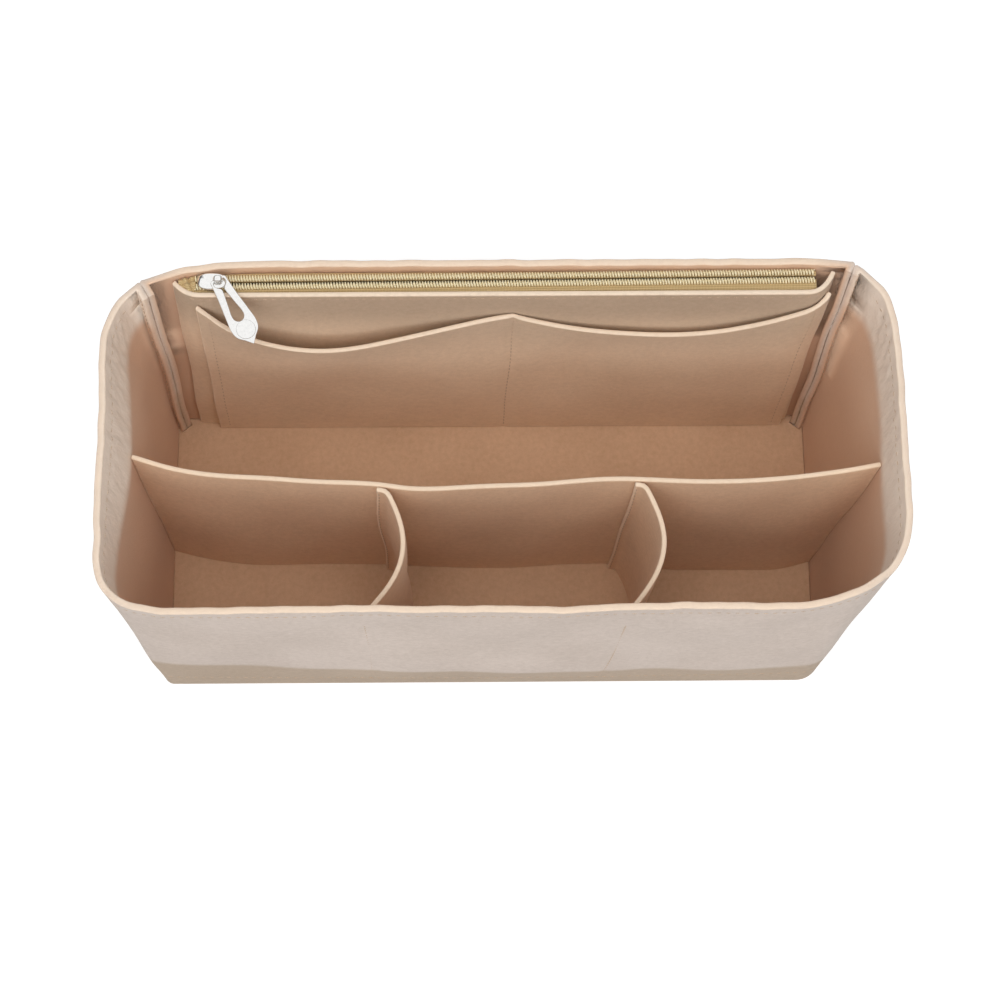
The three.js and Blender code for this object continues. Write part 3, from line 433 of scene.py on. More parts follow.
def sheet_faces(rows, columns, border, with_edge=False):
    """Quads of a closed sheet: its front, its back and the strips between their borders, with or without a ring
    of edge points between them."""
    total, quads = rows * columns, grid_quads(rows, columns)
    loops = [border, total + border]
    if with_edge:
        loops.insert(1, 2 * total + np.arange(len(border)))
    strips = [np.stack([np.roll(a, -1), a, b, np.roll(b, -1)], 1) for a, b in zip(loops, loops[1:])]
    return np.concatenate([quads, total + quads[:, ::-1], *strips])


EDGE_ROUND = 0.75
EDGE_FLAT = 0.62
EDGE_OUT = 0.08
EDGE_FRAY = 0.1


def felt_sheet(name, middle, thickness, material, nodes, front_dent=0, back_dent=0, cut_scale=1,
               looks=None):
    """A cut felt sheet: both faces stand half its thickness off the middle surface, less towards a cut edge,
    which is round at its corners and a little frayed. looks holds a value of each name for the front face and
    for the back face."""
    normals = level_normals(middle)
    inward, run, rise = border_distance(middle)
    half = thickness / 2 * (EDGE_FLAT + (1 - EDGE_FLAT) * round_share(inward, EDGE_ROUND))
    front = middle + normals * (half - front_dent)[..., None]
    back = middle - normals * (half - back_dent)[..., None]
    shape = middle.shape[:2]
    border = border_of(*shape)
    outward = unit(np.concatenate([
        middle[0, :-1] - middle[1, :-1], middle[:-1, -1] - middle[:-1, -2],
        middle[-1, :0:-1] - middle[-2, :0:-1], middle[:0:-1, 0] - middle[:0:-1, 1]]))
    edge = middle.reshape(-1, 3)[border] + outward * (EDGE_OUT + EDGE_FRAY * rng.normal(size=(len(border), 1)))
    edge[:, 2] = np.clip(edge[:, 2], middle[..., 2].min(), None)
    points = np.concatenate([front.reshape(-1, 3), back.reshape(-1, 3), edge])
    cut = (1 - smooth(0.25, 1.0, inward)) * cut_scale
    values = {}
    for key, pair in {"cut": (cut, cut), **(looks or {})}.items():
        a, b = (np.broadcast_to(value, shape).ravel() for value in pair)
        values[key] = np.concatenate([a, b, (a + b)[border] / 2])
    uv = np.stack([run, rise], -1).reshape(-1, 2) * MM
    make_piece(name, points, sheet_faces(*shape, border, True), material, nodes, values=values,
               uv=np.concatenate([uv, uv, uv[border]]))


STITCH_LENGTH = 2.9
STITCH_GAP = 0.75
STITCH_JITTER = 0.12
STITCH_RADIUS = 0.22
STITCH_SINK = 0.34
STITCH_GIRTH = np.array([0.55, 0.95, 1, 1, 1, 0.95, 0.55])
STITCH_SIDES = 6


def stitch_row(name, path, normals, *nodes):
    """A row of single stitches on a face: each is a short thread that comes up out of the felt, runs along it
    and goes down again, with a round section."""
    whole, rings = run_along(path)[-1], len(STITCH_GIRTH)
    count = max(int(whole // (STITCH_LENGTH + STITCH_GAP)), 1)
    pitch = whole / count
    start = np.arange(count) * pitch + STITCH_GAP / 2 + STITCH_JITTER * rng.uniform(-1, 1, count)
    t = np.linspace(0, 1, rings)
    at = (start[:, None] + t[None] * (pitch - STITCH_GAP)).ravel()
    normal = unit(along(np.concatenate([path, normals], 1), at)[:, 3:])
    lift = (STITCH_RADIUS * 0.75 + STITCH_SINK) * np.sin(np.pi * t) ** 0.55 - STITCH_SINK
    centre = along(path, at) + normal * np.tile(lift, count)[:, None]
    centre, normal = centre.reshape(count, rings, 3), normal.reshape(count, rings, 3)
    ahead = unit(strides(centre))
    side = unit(np.cross(ahead, normal))
    up = np.cross(side, ahead)
    angle = 2 * np.pi * np.arange(STITCH_SIDES) / STITCH_SIDES
    ring = np.cos(angle)[:, None] * side[:, :, None] + np.sin(angle)[:, None] * up[:, :, None]
    points = centre[:, :, None] + ring * (STITCH_RADIUS * STITCH_GIRTH)[None, :, None, None]
    points = points.reshape(count, rings * STITCH_SIDES, 3)
    foot = np.array([[0, 5, 4, 1], [1, 4, 3, 2]])
    head = np.array([[0, 1, 4, 5], [1, 2, 3, 4]]) + (rings - 1) * STITCH_SIDES
    single = np.concatenate([grid_quads(rings, STITCH_SIDES, wrap_columns=True), foot, head])
    faces = (single[None] + np.arange(count)[:, None, None] * rings * STITCH_SIDES).reshape(-1, 4)
    if volume_of(points[0], single) < 0:
        faces = faces[:, ::-1]
    make_piece(name, points.reshape(-1, 3), faces, thread_look, nodes, turn_out=False)


# Materials


def srgb(r, g, b):
    value = np.array([r, g, b]) / 255
    return tuple(np.where(value <= 0.04045, value / 12.92, ((value + 0.055) / 1.055) ** 2.4)) + (1.0,)


class Look:
    """A node tree, with short ways to add nodes and join them."""

    def __init__(self, owner):
        owner.use_nodes = True
        self.owner, self.nodes, self.links = owner, owner.node_tree.nodes, owner.node_tree.links

    def feed(self, socket, value):
        """A socket linked to another one, or set to a value."""
        if isinstance(value, bpy.types.NodeSocket):
            self.links.new(value, socket)
        else:
            socket.default_value = value

    def add(self, kind, inputs, output=0, **settings):
        """One output of a new node with these settings and inputs."""
        node = self.nodes.new("ShaderNode" + kind)
        for key, value in settings.items():
            setattr(node, key, value)
        for key, value in inputs.items():
            self.feed(node.inputs[key], value)
        return node.outputs[output]

    def place(self):
        return self.add("TexCoord", {}, "Object")

    def noise(self, vector, scale, detail=3, roughness=0.55):
        inputs = {"Vector": vector, "Scale": scale, "Detail": detail, "Roughness": roughness}
        return self.add("TexNoise", inputs, "Fac")

    def wave(self, vector, scale, direction, distortion, detail_scale=1):
        inputs = {"Vector": vector, "Scale": scale, "Distortion": distortion, "Detail Scale": detail_scale}
        return self.add("TexWave", inputs, "Fac", bands_direction=direction)

    def stretched(self, vector, scale, turn=(0, 0, 0)):
        return self.add("Mapping", {"Vector": vector, "Scale": scale, "Rotation": turn}, "Vector")

    def maths(self, operation, *values):
        return self.add("Math", dict(enumerate(values)), operation=operation)

    def blend(self, a, share_a, b, share_b):
        return self.maths("MULTIPLY_ADD", a, share_a, self.maths("MULTIPLY", b, share_b))

    def mixed(self, factor, a, b, kind="MIX"):
        inputs = {0: factor, 6: a, 7: b}
        return self.add("Mix", inputs, 2, data_type="RGBA", blend_type=kind, clamp_factor=True)

    def ray(self, kind):
        return self.add("LightPath", {}, f"Is {kind} Ray")

    def attribute(self, name):
        return self.add("Attribute", {}, "Fac", attribute_name=name)

    def ramp(self, source, low, high, stops=(0.3, 0.7)):
        """A ramp between two colours, given as numbers up to 255."""
        node = self.nodes.new("ShaderNodeValToRGB")
        for element, stop, colour in zip(node.color_ramp.elements, stops, (low, high)):
            element.position, element.color = stop, srgb(*colour)
        self.feed(node.inputs["Fac"], source)
        return node.outputs["Color"]

    def finish(self, height=None, strength=0.5, distance=0.0001, **inputs):
        """The owner, with the shader's inputs set by name, where _ is a space, and with the bump of a height."""
        shader = self.nodes["Principled BSDF"]
        for key, value in inputs.items():
            self.feed(shader.inputs[key.replace("_", " ")], value)
        if height is not None:
            bump = self.add("Bump", {"Height": height, "Strength": strength, "Distance": distance}, "Normal")
            self.feed(shader.inputs["Normal"], bump)
        return self.owner


def felt_material(name, colour, deep, edge):
    """Pressed felt: fine fibres in all directions, slow clouds of tone and a paler, rougher cut edge. Point
    attributes paint light and shade on it: a darker, warmer painted shade low on the outer walls, a paler painted
    light on the upper band of the sides' inner faces, a warmer, darker painted shade on the shell's inner faces
    and a darker painted shade on the upper pouch and slip panels. It is finely creased where "gather" is high."""
    look = Look(bpy.data.materials.new(name))
    place = look.place()
    fibres = look.noise(look.stretched(place, (1, 1, 0.35), (0.5, 0.2, 0.3)), 1700, 3, 0.65)
    level_fibres = look.noise(look.stretched(place, (0.3, 0.3, 1.2)), 1500, 3, 0.65)
    grain = look.noise(place, 420, 4, 0.6)
    clouds = look.noise(place, 26, 3, 0.5)
    weave = look.blend(fibres, 0.5, level_fibres, 0.5)
    tone = look.blend(weave, 0.35, look.blend(clouds, 0.45, grain, 0.55), 0.65)
    base = look.ramp(tone, deep, colour, (0.36, 0.6))
    # Painted shade: the shell's inner faces are mixed towards a warmer, darker felt colour, for the warm shade
    # inside the insert.
    base = look.mixed(look.attribute("inside"), base, srgb(228, 186, 152))
    # Painted light: the upper band of the sides' inner faces is mixed towards a pale colour, for the light that
    # falls on it.
    base = look.mixed(look.maths("MULTIPLY", look.attribute("painted_light_band"), 0.85), base, srgb(248, 236, 222))
    # Painted shade: the outer walls' low band is multiplied darker and warmer, for the shade near the floor.
    base = look.mixed(look.attribute("low_painted_shade"), base, (0.76, 0.70, 0.60, 1), "MULTIPLY")
    # Painted shade: a neutral darkening of the upper pouch and slip panels.
    base = look.mixed(look.attribute("dim"), base, (0.6, 0.6, 0.6, 1), "MULTIPLY")
    rough_cut = look.maths("MULTIPLY", look.attribute("cut"), look.maths("MULTIPLY_ADD", grain, 0.9, 0.5))
    base = look.mixed(look.maths("MINIMUM", rough_cut, 1.0), base, srgb(*edge))
    creases = look.noise(look.stretched(place, (1, 1, 0.4)), 240, 2, 0.5)
    gather = look.maths("MULTIPLY", look.attribute("gather"), creases)
    height = look.maths("MULTIPLY_ADD", gather, 3.0, look.blend(weave, 0.6, grain, 0.6))
    return look.finish(height, 0.55, 0.0004, Base_Color=base, Roughness=0.93, Specular_IOR_Level=0.18,
                       Sheen_Weight=0.12, Sheen_Roughness=0.45)


def thread_material(name, colour, deep):
    """Twisted sewing thread."""
    look = Look(bpy.data.materials.new(name))
    twist = look.wave(look.place(), 900, "DIAGONAL", 1.5)
    colour = look.ramp(twist, deep, colour, (0.2, 0.8))
    return look.finish(twist, Base_Color=colour, Roughness=0.7, Sheen_Weight=0.15)


def tape_material(name):
    """Woven zip tape: fine ribs along it, crossed by finer ones."""
    look = Look(bpy.data.materials.new(name))
    place = look.add("UVMap", {}, "UV", uv_map="cloth")
    weave = look.blend(look.wave(place, 520, "X", 0.6, 2), 0.5, look.wave(place, 330, "Y", 0.6, 2), 0.5)
    colour = look.ramp(weave, (176, 148, 101), (212, 187, 140), (0.15, 0.85))
    return look.finish(weave, distance=0.00015, Base_Color=colour, Roughness=0.8, Sheen_Weight=0.12)


def coil_material(name):
    """Dyed nylon wire, slightly glossy."""
    look = Look(bpy.data.materials.new(name))
    mottle = look.noise(look.place(), 600, 2)
    colour = look.ramp(mottle, (246, 230, 186), (252, 240, 206))
    return look.finish(Base_Color=colour, Roughness=look.maths("MULTIPLY_ADD", mottle, 0.2, 0.28))


def chrome_material(name):
    """Polished plated metal with fine wear."""
    look = Look(bpy.data.materials.new(name))
    place = look.place()
    wear = look.noise(place, 900, 4, 0.6)
    colour = look.ramp(wear, (240, 239, 237), (248, 247, 245))
    return look.finish(look.noise(place, 300, 2), 0.01, Base_Color=colour, Metallic=1,
                       Roughness=look.maths("MULTIPLY_ADD", wear, 0.06, 0.04))


shell_felt = felt_material("shell_felt", (222, 207, 196), (204, 188, 176), (240, 217, 194))
panel_felt = felt_material("panel_felt", (240, 214, 186), (223, 197, 169), (242, 221, 198))
divider_felt = felt_material("divider_felt", (240, 207, 175), (222, 189, 157), (244, 220, 194))
floor_felt = felt_material("floor_felt", (220, 184, 152), (203, 167, 135), (244, 220, 194))
thread_look = thread_material("sewing_thread", (216, 190, 164), (186, 158, 132))
tape_look = tape_material("woven_zip_tape")
coil_look = coil_material("zip_coil_nylon")
chrome_look = chrome_material("polished_chrome")

# Shell walls

WALL_LEVELS = graded(0, WALL_HEIGHT, 2.3)
wrap_middle = corner_pucker(drift(seamed_wall(wrap_line, -1, WALL_LEVELS)))
back_middle = corner_pucker(drift(seamed_wall(back_line, 1, WALL_LEVELS)))


def rim_wobble(middle):
    """The rim rises and falls a little, and moves in and out, in waves of 11 to 37 mm along it."""
    run = run_along(middle[-1])[None]
    z = middle[..., 2]
    lift = 0.3 * ripple(run, 23, 37, 11) * smooth(120, 150, z)
    out = 0.25 * ripple(run, 19, 31, 13) * smooth(138, 150, z) * (1 - near_corner_seams(middle, 14))
    return raised(middle + level_normals(middle) * out[..., None], lift)


def upper_sides(middle):
    """How far a point lies on the sides, away from the front and the back: 0 to 1."""
    return smooth(120, 150, np.abs(middle[..., 0] - RIM_LEAN * middle[..., 2] / WALL_HEIGHT))


def side_pucker(middle):
    """Short upright creases in the sides' upper band, where the felt gathers: strongest near the back corners."""
    normals = level_normals(middle)
    z = middle[..., 2]
    band = smooth(118, 132, z) * (1 - smooth(143, 150, z))
    back = smooth(-60, 50, middle[..., 1])
    run = middle[..., 1] + 0.35 * middle[..., 0]
    wave = ripple(run + 0.25 * z, 7.3, 5.3, 9.7) + 0.6 * ripple(run - 0.4 * z, 5.9, 13)
    calm = 1 - near_corner_seams(middle, 16)
    return middle + normals * (0.5 * calm * upper_sides(middle) * band * mix(0.25, 1, back) * wave)[..., None]


def groove(distance, depth, width):
    """Depth of a rounded groove at a distance from its middle."""
    return depth * np.exp(-((distance / width) ** 2))


BEND_SWEEP = math.radians(110)
BEND_FILL = 1.3


def corner_fill(middle):
    """The outside of an allowance's bend is filled out, by the distance from its arc to the corner of the two
    lines that touch it at its ends, up to a limit."""
    share = np.linspace(0, 1, BEND_STEPS + 1)
    sweep = BEND_SWEEP * np.minimum(share, 1 - share)
    rise = np.minimum((ALLOWANCE_BEND + WALL_FELT / 2) * (1 / np.cos(sweep) - 1), BEND_FILL)
    fill, tip = np.zeros(middle.shape[:2]), len(TIP_STEPS)
    fill[:, tip:TIP_COUNT] = rise
    fill[:, -TIP_COUNT:-tip] = rise
    return fill * mix(0.4, 1, smooth(60, 140, middle[..., 2]))


def shell_looks(middle, outer_is_front):
    """Outer faces are painted darker and warmer below a height that falls from 46 mm at the left to 28 mm at the
    right, a painted shade near the floor. The inner faces of the sides are painted paler above the long divider's
    height, a painted light on their upper band, and creased there. All inner faces get a warmer, darker painted
    shade."""
    z = middle[..., 2]
    across = np.clip((middle[..., 0] + 155) / 320, 0, 1)
    edge = mix(46, 28, across)
    # Painted shade near the floor on the outer faces, below a wavy height
    low_painted_shade = 1 - smooth(edge - 3, edge + 3, z + 1.5 * ripple(middle[..., 0] + middle[..., 1], 41, 67))
    # Painted light on the upper band of the sides' inner faces
    painted_light_band = upper_sides(middle) * smooth(118, 128, z)
    gather = upper_sides(middle) * smooth(116, 128, z) * (1 - smooth(144, 149, z))
    if outer_is_front:
        painted_light_band = painted_light_band * (1 - smooth(40, 60, middle[..., 1]))
    # The 0.8 on the inner faces is a painted warm shade.
    pairs = {"low_painted_shade": (0, low_painted_shade), "painted_light_band": (painted_light_band, 0), "gather": (gather, 0.4 * gather), "inside": (0.8, 0)}
    return {key: pair[::-1] if outer_is_front else pair for key, pair in pairs.items()}


wrap_middle = rim_wobble(side_pucker(wrap_middle))
back_middle = rim_wobble(back_middle)


def stitch_dents(middle):
    """The grooves that the rim's and the base's stitches pull into a wall."""
    z = middle[..., 2]
    return groove(z - RIM_STITCH_Z, *RIM_GROOVE), groove(z - BASE_STITCH_Z, *BASE_GROOVE)


rim_dent, base_dent = stitch_dents(wrap_middle)
outer_dent = rim_dent + base_dent - corner_fill(wrap_middle)
on_front = wrap_middle[..., 1] < mix(-55, -60, wrap_middle[..., 2] / WALL_HEIGHT)
for *_, front_foot, front_head in CROSS_ENDS.values():
    seam_x = mix(front_foot, front_head, wrap_middle[..., 2] / DIVIDER_HEIGHT)
    span = smooth(12, 20, wrap_middle[..., 2]) * (1 - smooth(118, 126, wrap_middle[..., 2]))
    outer_dent = outer_dent + on_front * span * groove(wrap_middle[..., 0] - seam_x, 0.5, 1.2)


def cut_scale_of(middle):
    """How strongly a wall's cut edges show: less at the corner seams and on the sides."""
    return (1 - 0.75 * near_corner_seams(middle, 9)) * (1 - 0.35 * upper_sides(middle))


felt_sheet("wraparound_felt", wrap_middle, WALL_FELT, shell_felt, ["wraparound_wall"], rim_dent, outer_dent,
           cut_scale_of(wrap_middle), shell_looks(wrap_middle, False))
felt_sheet("back_felt", back_middle, WALL_FELT, shell_felt, ["back_wall"],
           sum(stitch_dents(back_middle)) - corner_fill(back_middle), 0, cut_scale_of(back_middle),
           shell_looks(back_middle, True))


def read_levels(middle, z):
    """One row of a grid of an upright sheet at height z, with its level normals."""
    levels = middle[:, 0, 2]
    i = int(np.clip(np.searchsorted(levels, z), 1, len(levels) - 1))
    t = (z - levels[i - 1]) / (levels[i] - levels[i - 1])
    row = mix(middle[i - 1], middle[i], t)
    return row, level_normals(row[None])[0]


def wall_stitches(name, middle, z, face, *nodes):
    row, normal = (part[TIP_COUNT:-TIP_COUNT] for part in read_levels(middle, z))
    stitch_row(name, row + face * normal * (WALL_FELT / 2 - RIM_GROOVE[0]), face * normal, *nodes)


wall_stitches("rim_topstitch_wraparound", wrap_middle, RIM_STITCH_Z, -1, "rim_stitch_wraparound")
wall_stitches("rim_topstitch_wraparound_inside", wrap_middle, RIM_STITCH_Z, 1)
wall_stitches("rim_topstitch_back", back_middle, RIM_STITCH_Z, 1, "rim_stitch_back")
wall_stitches("base_seam_wraparound", wrap_middle, BASE_STITCH_Z, -1, "base_stitch_wraparound")
wall_stitches("base_seam_back", back_middle, BASE_STITCH_Z, 1, "base_stitch_back")

# Floor


def floor_notch(sign, half_x, half_y):
    """The floor's notch round the two layers of a corner seam, from its side edge to its back edge."""
    end, pick = ("left", 0) if sign < 0 else ("right", -1)
    turn = unit(np.append(ALLOWANCE_TURNS[end][0], 0))
    seam = wrap_line(0, RUN_SHARES)[0, pick]
    to_back = np.array([-turn[1], turn[0], 0]) * -sign
    half_width = WALL_FELT + SEAM_PRESS / 2 - FLOOR_PRESS
    rows = (seamed_wall(wrap_line, -1, np.zeros(1)), seamed_wall(back_line, 1, np.zeros(1)))
    reach = max((row[0, pick] - seam) @ turn for row in rows) - FLOOR_PRESS

    def place(forth, across):
        return seam + turn * forth + to_back * across * half_width

    side_edge = crossing(place(0, -1), turn, np.array([sign * half_x, 0, 0.0]), np.array([0, 1.0, 0]))
    back_edge = crossing(place(0, 1), turn, np.array([0, half_y, 0.0]), np.array([1.0, 0, 0]))
    return np.stack([side_edge, place(reach, -1), place(reach, 1), back_edge])[:, :2]


def floor_outline():
    """Outline of the floor: round front corners, and notches for the allowances at the back."""
    inset = WALL_FELT - FLOOR_PRESS
    half_x, half_y = BASE_BOX[1] - inset, BASE_BOX[3] - inset
    turn = np.linspace(0, np.pi / 2, 9)
    r, q = BASE_CORNERS[1, -1][0] - inset, BASE_CORNERS[-1, -1][0] - inset
    right = np.stack([half_x - r + r * np.sin(turn), -half_y + r - r * np.cos(turn)], 1)
    left = np.stack([-half_x + q - q * np.cos(turn), -half_y + q - q * np.sin(turn)], 1)
    return np.concatenate([right, floor_notch(1, half_x, half_y), floor_notch(-1, half_x, half_y)[::-1], left])


def drawn_in(outline, distance):
    """A closed outline, counterclockwise, moved in square to its edges by a distance."""
    before = unit(outline - np.roll(outline, 1, 0))
    after = np.roll(before, -1, 0)
    a, b = (np.stack([-way[:, 1], way[:, 0]], 1) for way in (before, after))
    return outline + distance * (a + b) / (1 + (a * b).sum(1, keepdims=True))


def capped(rings):
    """A closed shell of rings of points, each end closed by a strip of quads across its ring."""
    count, n = rings.shape[:2]
    i = np.arange(n // 2 - 1)
    cap = np.stack([i, i + 1, n - 2 - i, n - 1 - i], 1)
    quads = np.concatenate([grid_quads(count, n, wrap_columns=True), cap[:, ::-1], cap + (count - 1) * n])
    return rings.reshape(-1, 3), quads


def floor_piece():
    """The floor sheet: its outline drawn in square to itself for a rounded cut edge, and closed by a flat face
    on each side."""
    steps = EDGE_STEPS[:5]
    round_off = 0.27 * FLOOR_FELT * (1 - round_share(steps, EDGE_ROUND))
    outline = floor_outline()
    rings = np.stack([drawn_in(outline, step) for step in steps])
    points = np.concatenate([at_heights(rings, FLOOR_FELT - round_off)[::-1], at_heights(rings, round_off)])
    count, n = points.shape[:2]
    faces = grid_quads(count, n, wrap_columns=True)[:, ::-1].tolist()
    around = np.arange(n)
    faces += [around.tolist(), (around[::-1] + (count - 1) * n).tolist()]
    floor = make_piece("floor_felt", points.reshape(-1, 3), faces, floor_felt, ["floor_panel"],
                       turn_out=False)
    for face in floor.data.polygons[-2:]:
        face.use_smooth = False


floor_piece()

# Long divider


KNOT_STEPS = 24


def knots_curve(knots):
    """A smooth curve through knots, centripetal, so that it doesn't loop between close ones."""
    p = np.concatenate([2 * knots[:, :1] - knots[:, 1:2], knots, 2 * knots[:, -1:] - knots[:, -2:-1]], 1)
    p0, p1, p2, p3 = p[:, :-3], p[:, 1:-2], p[:, 2:-1], p[:, 3:]
    pairs = ((p0, p1), (p1, p2), (p2, p3))
    d0, d1, d2 = (np.sqrt(np.linalg.norm(b - a, axis=-1, keepdims=True)) for a, b in pairs)
    t1 = ((p1 - p0) / d0 - (p2 - p0) / (d0 + d1) + (p2 - p1) / d1) * d1
    t2 = ((p2 - p1) / d1 - (p3 - p1) / (d1 + d2) + (p3 - p2) / d2) * d1
    t = (np.arange(KNOT_STEPS) / KNOT_STEPS)[None, None, :, None]
    p1, p2, t1, t2 = (a[:, :, None] for a in (p1, p2, t1, t2))
    curve = p1 + t1 * t
    curve = curve + (-3 * p1 + 3 * p2 - 2 * t1 - t2) * t ** 2 + (2 * p1 - 2 * p2 + t1 + t2) * t ** 3
    return np.concatenate([curve.reshape(knots.shape[0], -1, 3), knots[:, -1:]], 1)


def side_inner_face(sign, y, z):
    """X of a side wall's inner face at Y and Z."""
    run = wall_run("left" if sign < 0 else "right", z, FINE_SHARES)
    found = []
    for line, place in zip(run, y):
        order = np.argsort(line[:, 1])
        found.append(np.interp(place, line[order, 1], line[order, 0]))
    return np.array(found) - sign * WALL_FELT / 2


def divider_lines(levels):
    """The long divider's line from side wall to side wall, at each level."""
    rise = levels[:, None] / DIVIDER_HEIGHT
    y = mix(DIVIDER_WAVES[None, :, 1], DIVIDER_WAVES[None, :, 2], rise)
    left = side_inner_face(-1, y[:, 0], levels) + LAYER_GAP
    right = side_inner_face(1, y[:, -1], levels) - LAYER_GAP
    share = (DIVIDER_WAVES[None, :, 0] + 1) / 2
    x = mix(left[:, None], right[:, None], share)
    return knots_curve(np.stack([x, y, np.broadcast_to(levels[:, None], x.shape)], 2))


def respaced(lines, levels, step):
    """A grid of lines at levels, with each line's points about one step apart, closer at both ends."""
    shortest = min(run_along(line)[-1] for line in lines)
    middle = np.stack([along(line, shares=graded(0, shortest, step) / shortest) for line in lines])
    middle[..., 2] = levels[:, None]
    return drift(middle)


DIVIDER_LEVELS = graded(STANDING, DIVIDER_HEIGHT, 3)


def divider_y(x, z):
    line = divider_lines(np.array([z]))[0]
    return np.interp(x, line[:, 0], line[:, 1])


divider_middle = respaced(divider_lines(DIVIDER_LEVELS), DIVIDER_LEVELS, 3.0)
edge_lift = smooth(DIVIDER_HEIGHT - 30, DIVIDER_HEIGHT, divider_middle[..., 2])
edge_lift = edge_lift * 0.35 * ripple(divider_middle[..., 0], 47, 71, 29)
felt_sheet("long_divider_felt", raised(divider_middle, edge_lift), PANEL_FELT, divider_felt, ["long_divider"])

# Cross dividers


def cross_line(ends, z):
    """A flange along the long divider, a bend, and a run that bulges to the right on its way to the front wall."""
    back_foot, back_head, front_foot, front_head = ends
    rise = z / DIVIDER_HEIGHT
    back_x, front_x = mix(back_foot, back_head, rise), mix(front_foot, front_head, rise)

    def flange(x):
        return np.array([x, divider_y(x, z) - PANEL_FELT - LAYER_GAP, z])

    corner = flange(back_x)
    edge, start = flange(back_x - FLANGE_WIDTH - FLANGE_BEND), flange(back_x - FLANGE_BEND)
    end = inner_face("front", front_x, z) + LAYER_GAP + CROSS_ROOM
    y = np.linspace(corner[1] - FLANGE_BEND, end, CROSS_POINTS)
    share = (y - corner[1]) / (end - corner[1])
    x = mix(back_x, front_x, share) + CROSS_BULGE * np.sin(np.pi * share)
    run = np.stack([x, y, np.full(CROSS_POINTS, z)], 1)
    t = np.linspace(0, 1, 9)[:, None]
    bend = start * (1 - t) ** 2 + 2 * corner * t * (1 - t) + run[0] * t ** 2
    return np.concatenate([edge[None], bend, run[1:]])


for side, ends in CROSS_ENDS.items():
    middle = respaced([cross_line(ends, z) for z in DIVIDER_LEVELS], DIVIDER_LEVELS, 1.6)
    felt_sheet(f"{side}_cross_divider_felt", middle, PANEL_FELT, divider_felt, [f"{side}_cross_divider"])

# Zip pocket panel


def pouch_end(sign, z):
    return mix(*POUCH_ENDS[sign], z / WALL_HEIGHT)


def pouch_y(x, z):
    """Y of the pouch panel's middle surface: level with the back wall in its middle, bent back to it at both
    ends."""
    depth = mix(*POUCH_DEPTHS, z / POUCH_HEIGHT)
    straight = inner_face("back", RIM_LEAN, z) - depth - PANEL_FELT / 2
    bend = np.clip(1 - np.minimum(x - pouch_end(-1, z), pouch_end(1, z) - x) / POUCH_RUN, 0, 1) ** 3
    against = inner_face("back", x, z) - LAYER_GAP - PANEL_FELT / 2
    return np.minimum(mix(straight, against, bend), against)


def pouch_line(z):
    left, right = pouch_end(-1, z), pouch_end(1, z)
    x = np.concatenate([np.linspace(left, left + POUCH_RUN, 30)[:-1],
                        np.linspace(left + POUCH_RUN, right - POUCH_RUN, 260),
                        np.linspace(right - POUCH_RUN, right, 30)[1:]])
    return np.stack([x, pouch_y(x, z), np.full(len(x), z)], 1)


POUCH_LEVELS = graded(STANDING, POUCH_HEIGHT, 3)
pouch_middle = respaced([pouch_line(z) for z in POUCH_LEVELS], POUCH_LEVELS, 2.0)
# The pouch panel's face is painted darker above 100 mm: painted shade.
felt_sheet("zip_pocket_felt", pouch_middle, PANEL_FELT, panel_felt, ["zip_pocket_panel"],
           back_dent=groove(pouch_middle[..., 2] - TAPE_SEAM_Z, 0.22, 0.9),
           looks={"dim": (0, 0.85 * smooth(100, 135, pouch_middle[..., 2]))})

# Slip pocket panel


def of_side(share, pair):
    """The pair's first value left of the panel's middle and its second from there on."""
    return np.where(share < 0, *pair)


def slip_dip(share):
    """How far a scallop dips at a share from -1 to 1 of the way from the panel's middle to its ends: a sine
    that is skewed to one side and raised to a power of its own."""
    place = np.abs(share) ** of_side(share, SLIP_SKEWS)
    return np.sin(np.pi * place).clip(0) ** mix(SLIP_POWERS[0], of_side(share, SLIP_POWERS[1]), place)


def slip_top(share):
    return mix(SLIP_HEIGHTS[1], SLIP_HEIGHTS[0], np.abs(share)) - of_side(share, SLIP_DIPS) * slip_dip(share)


def slip_grid(shares, rows):
    """Rows of points up the slip panel, from its foot to its scalloped edge: (rows, shares, 3)."""
    z = STANDING + rows[:, None] * (slip_top(shares) - STANDING)[None]
    part = np.abs(shares)[None]
    end = np.where(shares < 0, pouch_end(-1, z) + SLIP_INSETS[0], pouch_end(1, z) - SLIP_INSETS[1])
    x = mix(SLIP_MIDDLE + RIM_LEAN * z / WALL_HEIGHT, end, part)
    step = PANEL_FELT / 2
    y = pouch_surface(x, z)
    slope = (pouch_surface(x + step, z) - pouch_surface(x - step, z)) / (2 * step)
    ahead = unit(np.stack([slope, -np.ones_like(slope), np.zeros_like(slope)], -1))
    reach = z / (np.mean(SLIP_HEIGHTS) - of_side(shares, SLIP_DIPS))
    open_by = (of_side(shares, SLIP_OPEN) * slip_dip(shares))[None] * reach ** 2
    return np.stack([x, y, z], -1) + ahead * (PANEL_FELT + LAYER_GAP + open_by)[..., None]


TABLE_Z = np.linspace(0, WALL_HEIGHT, 76)
TABLE_X = np.linspace(-140, 145, 1141)
POUCH_TABLE = np.stack([pouch_y(TABLE_X, z) for z in TABLE_Z])


def pouch_surface(x, z):
    """Y of the pouch panel's middle surface, read between the lines of a fine table of it."""
    row = np.clip(z / TABLE_Z[1], 0, len(TABLE_Z) - 1.001)
    column = np.clip((x - TABLE_X[0]) / (TABLE_X[1] - TABLE_X[0]), 0, len(TABLE_X) - 1.001)
    i, j = row.astype(int), column.astype(int)
    a, b = row - i, column - j
    low = mix(POUCH_TABLE[i, j], POUCH_TABLE[i, j + 1], b)
    return mix(low, mix(POUCH_TABLE[i + 1, j], POUCH_TABLE[i + 1, j + 1], b), a)


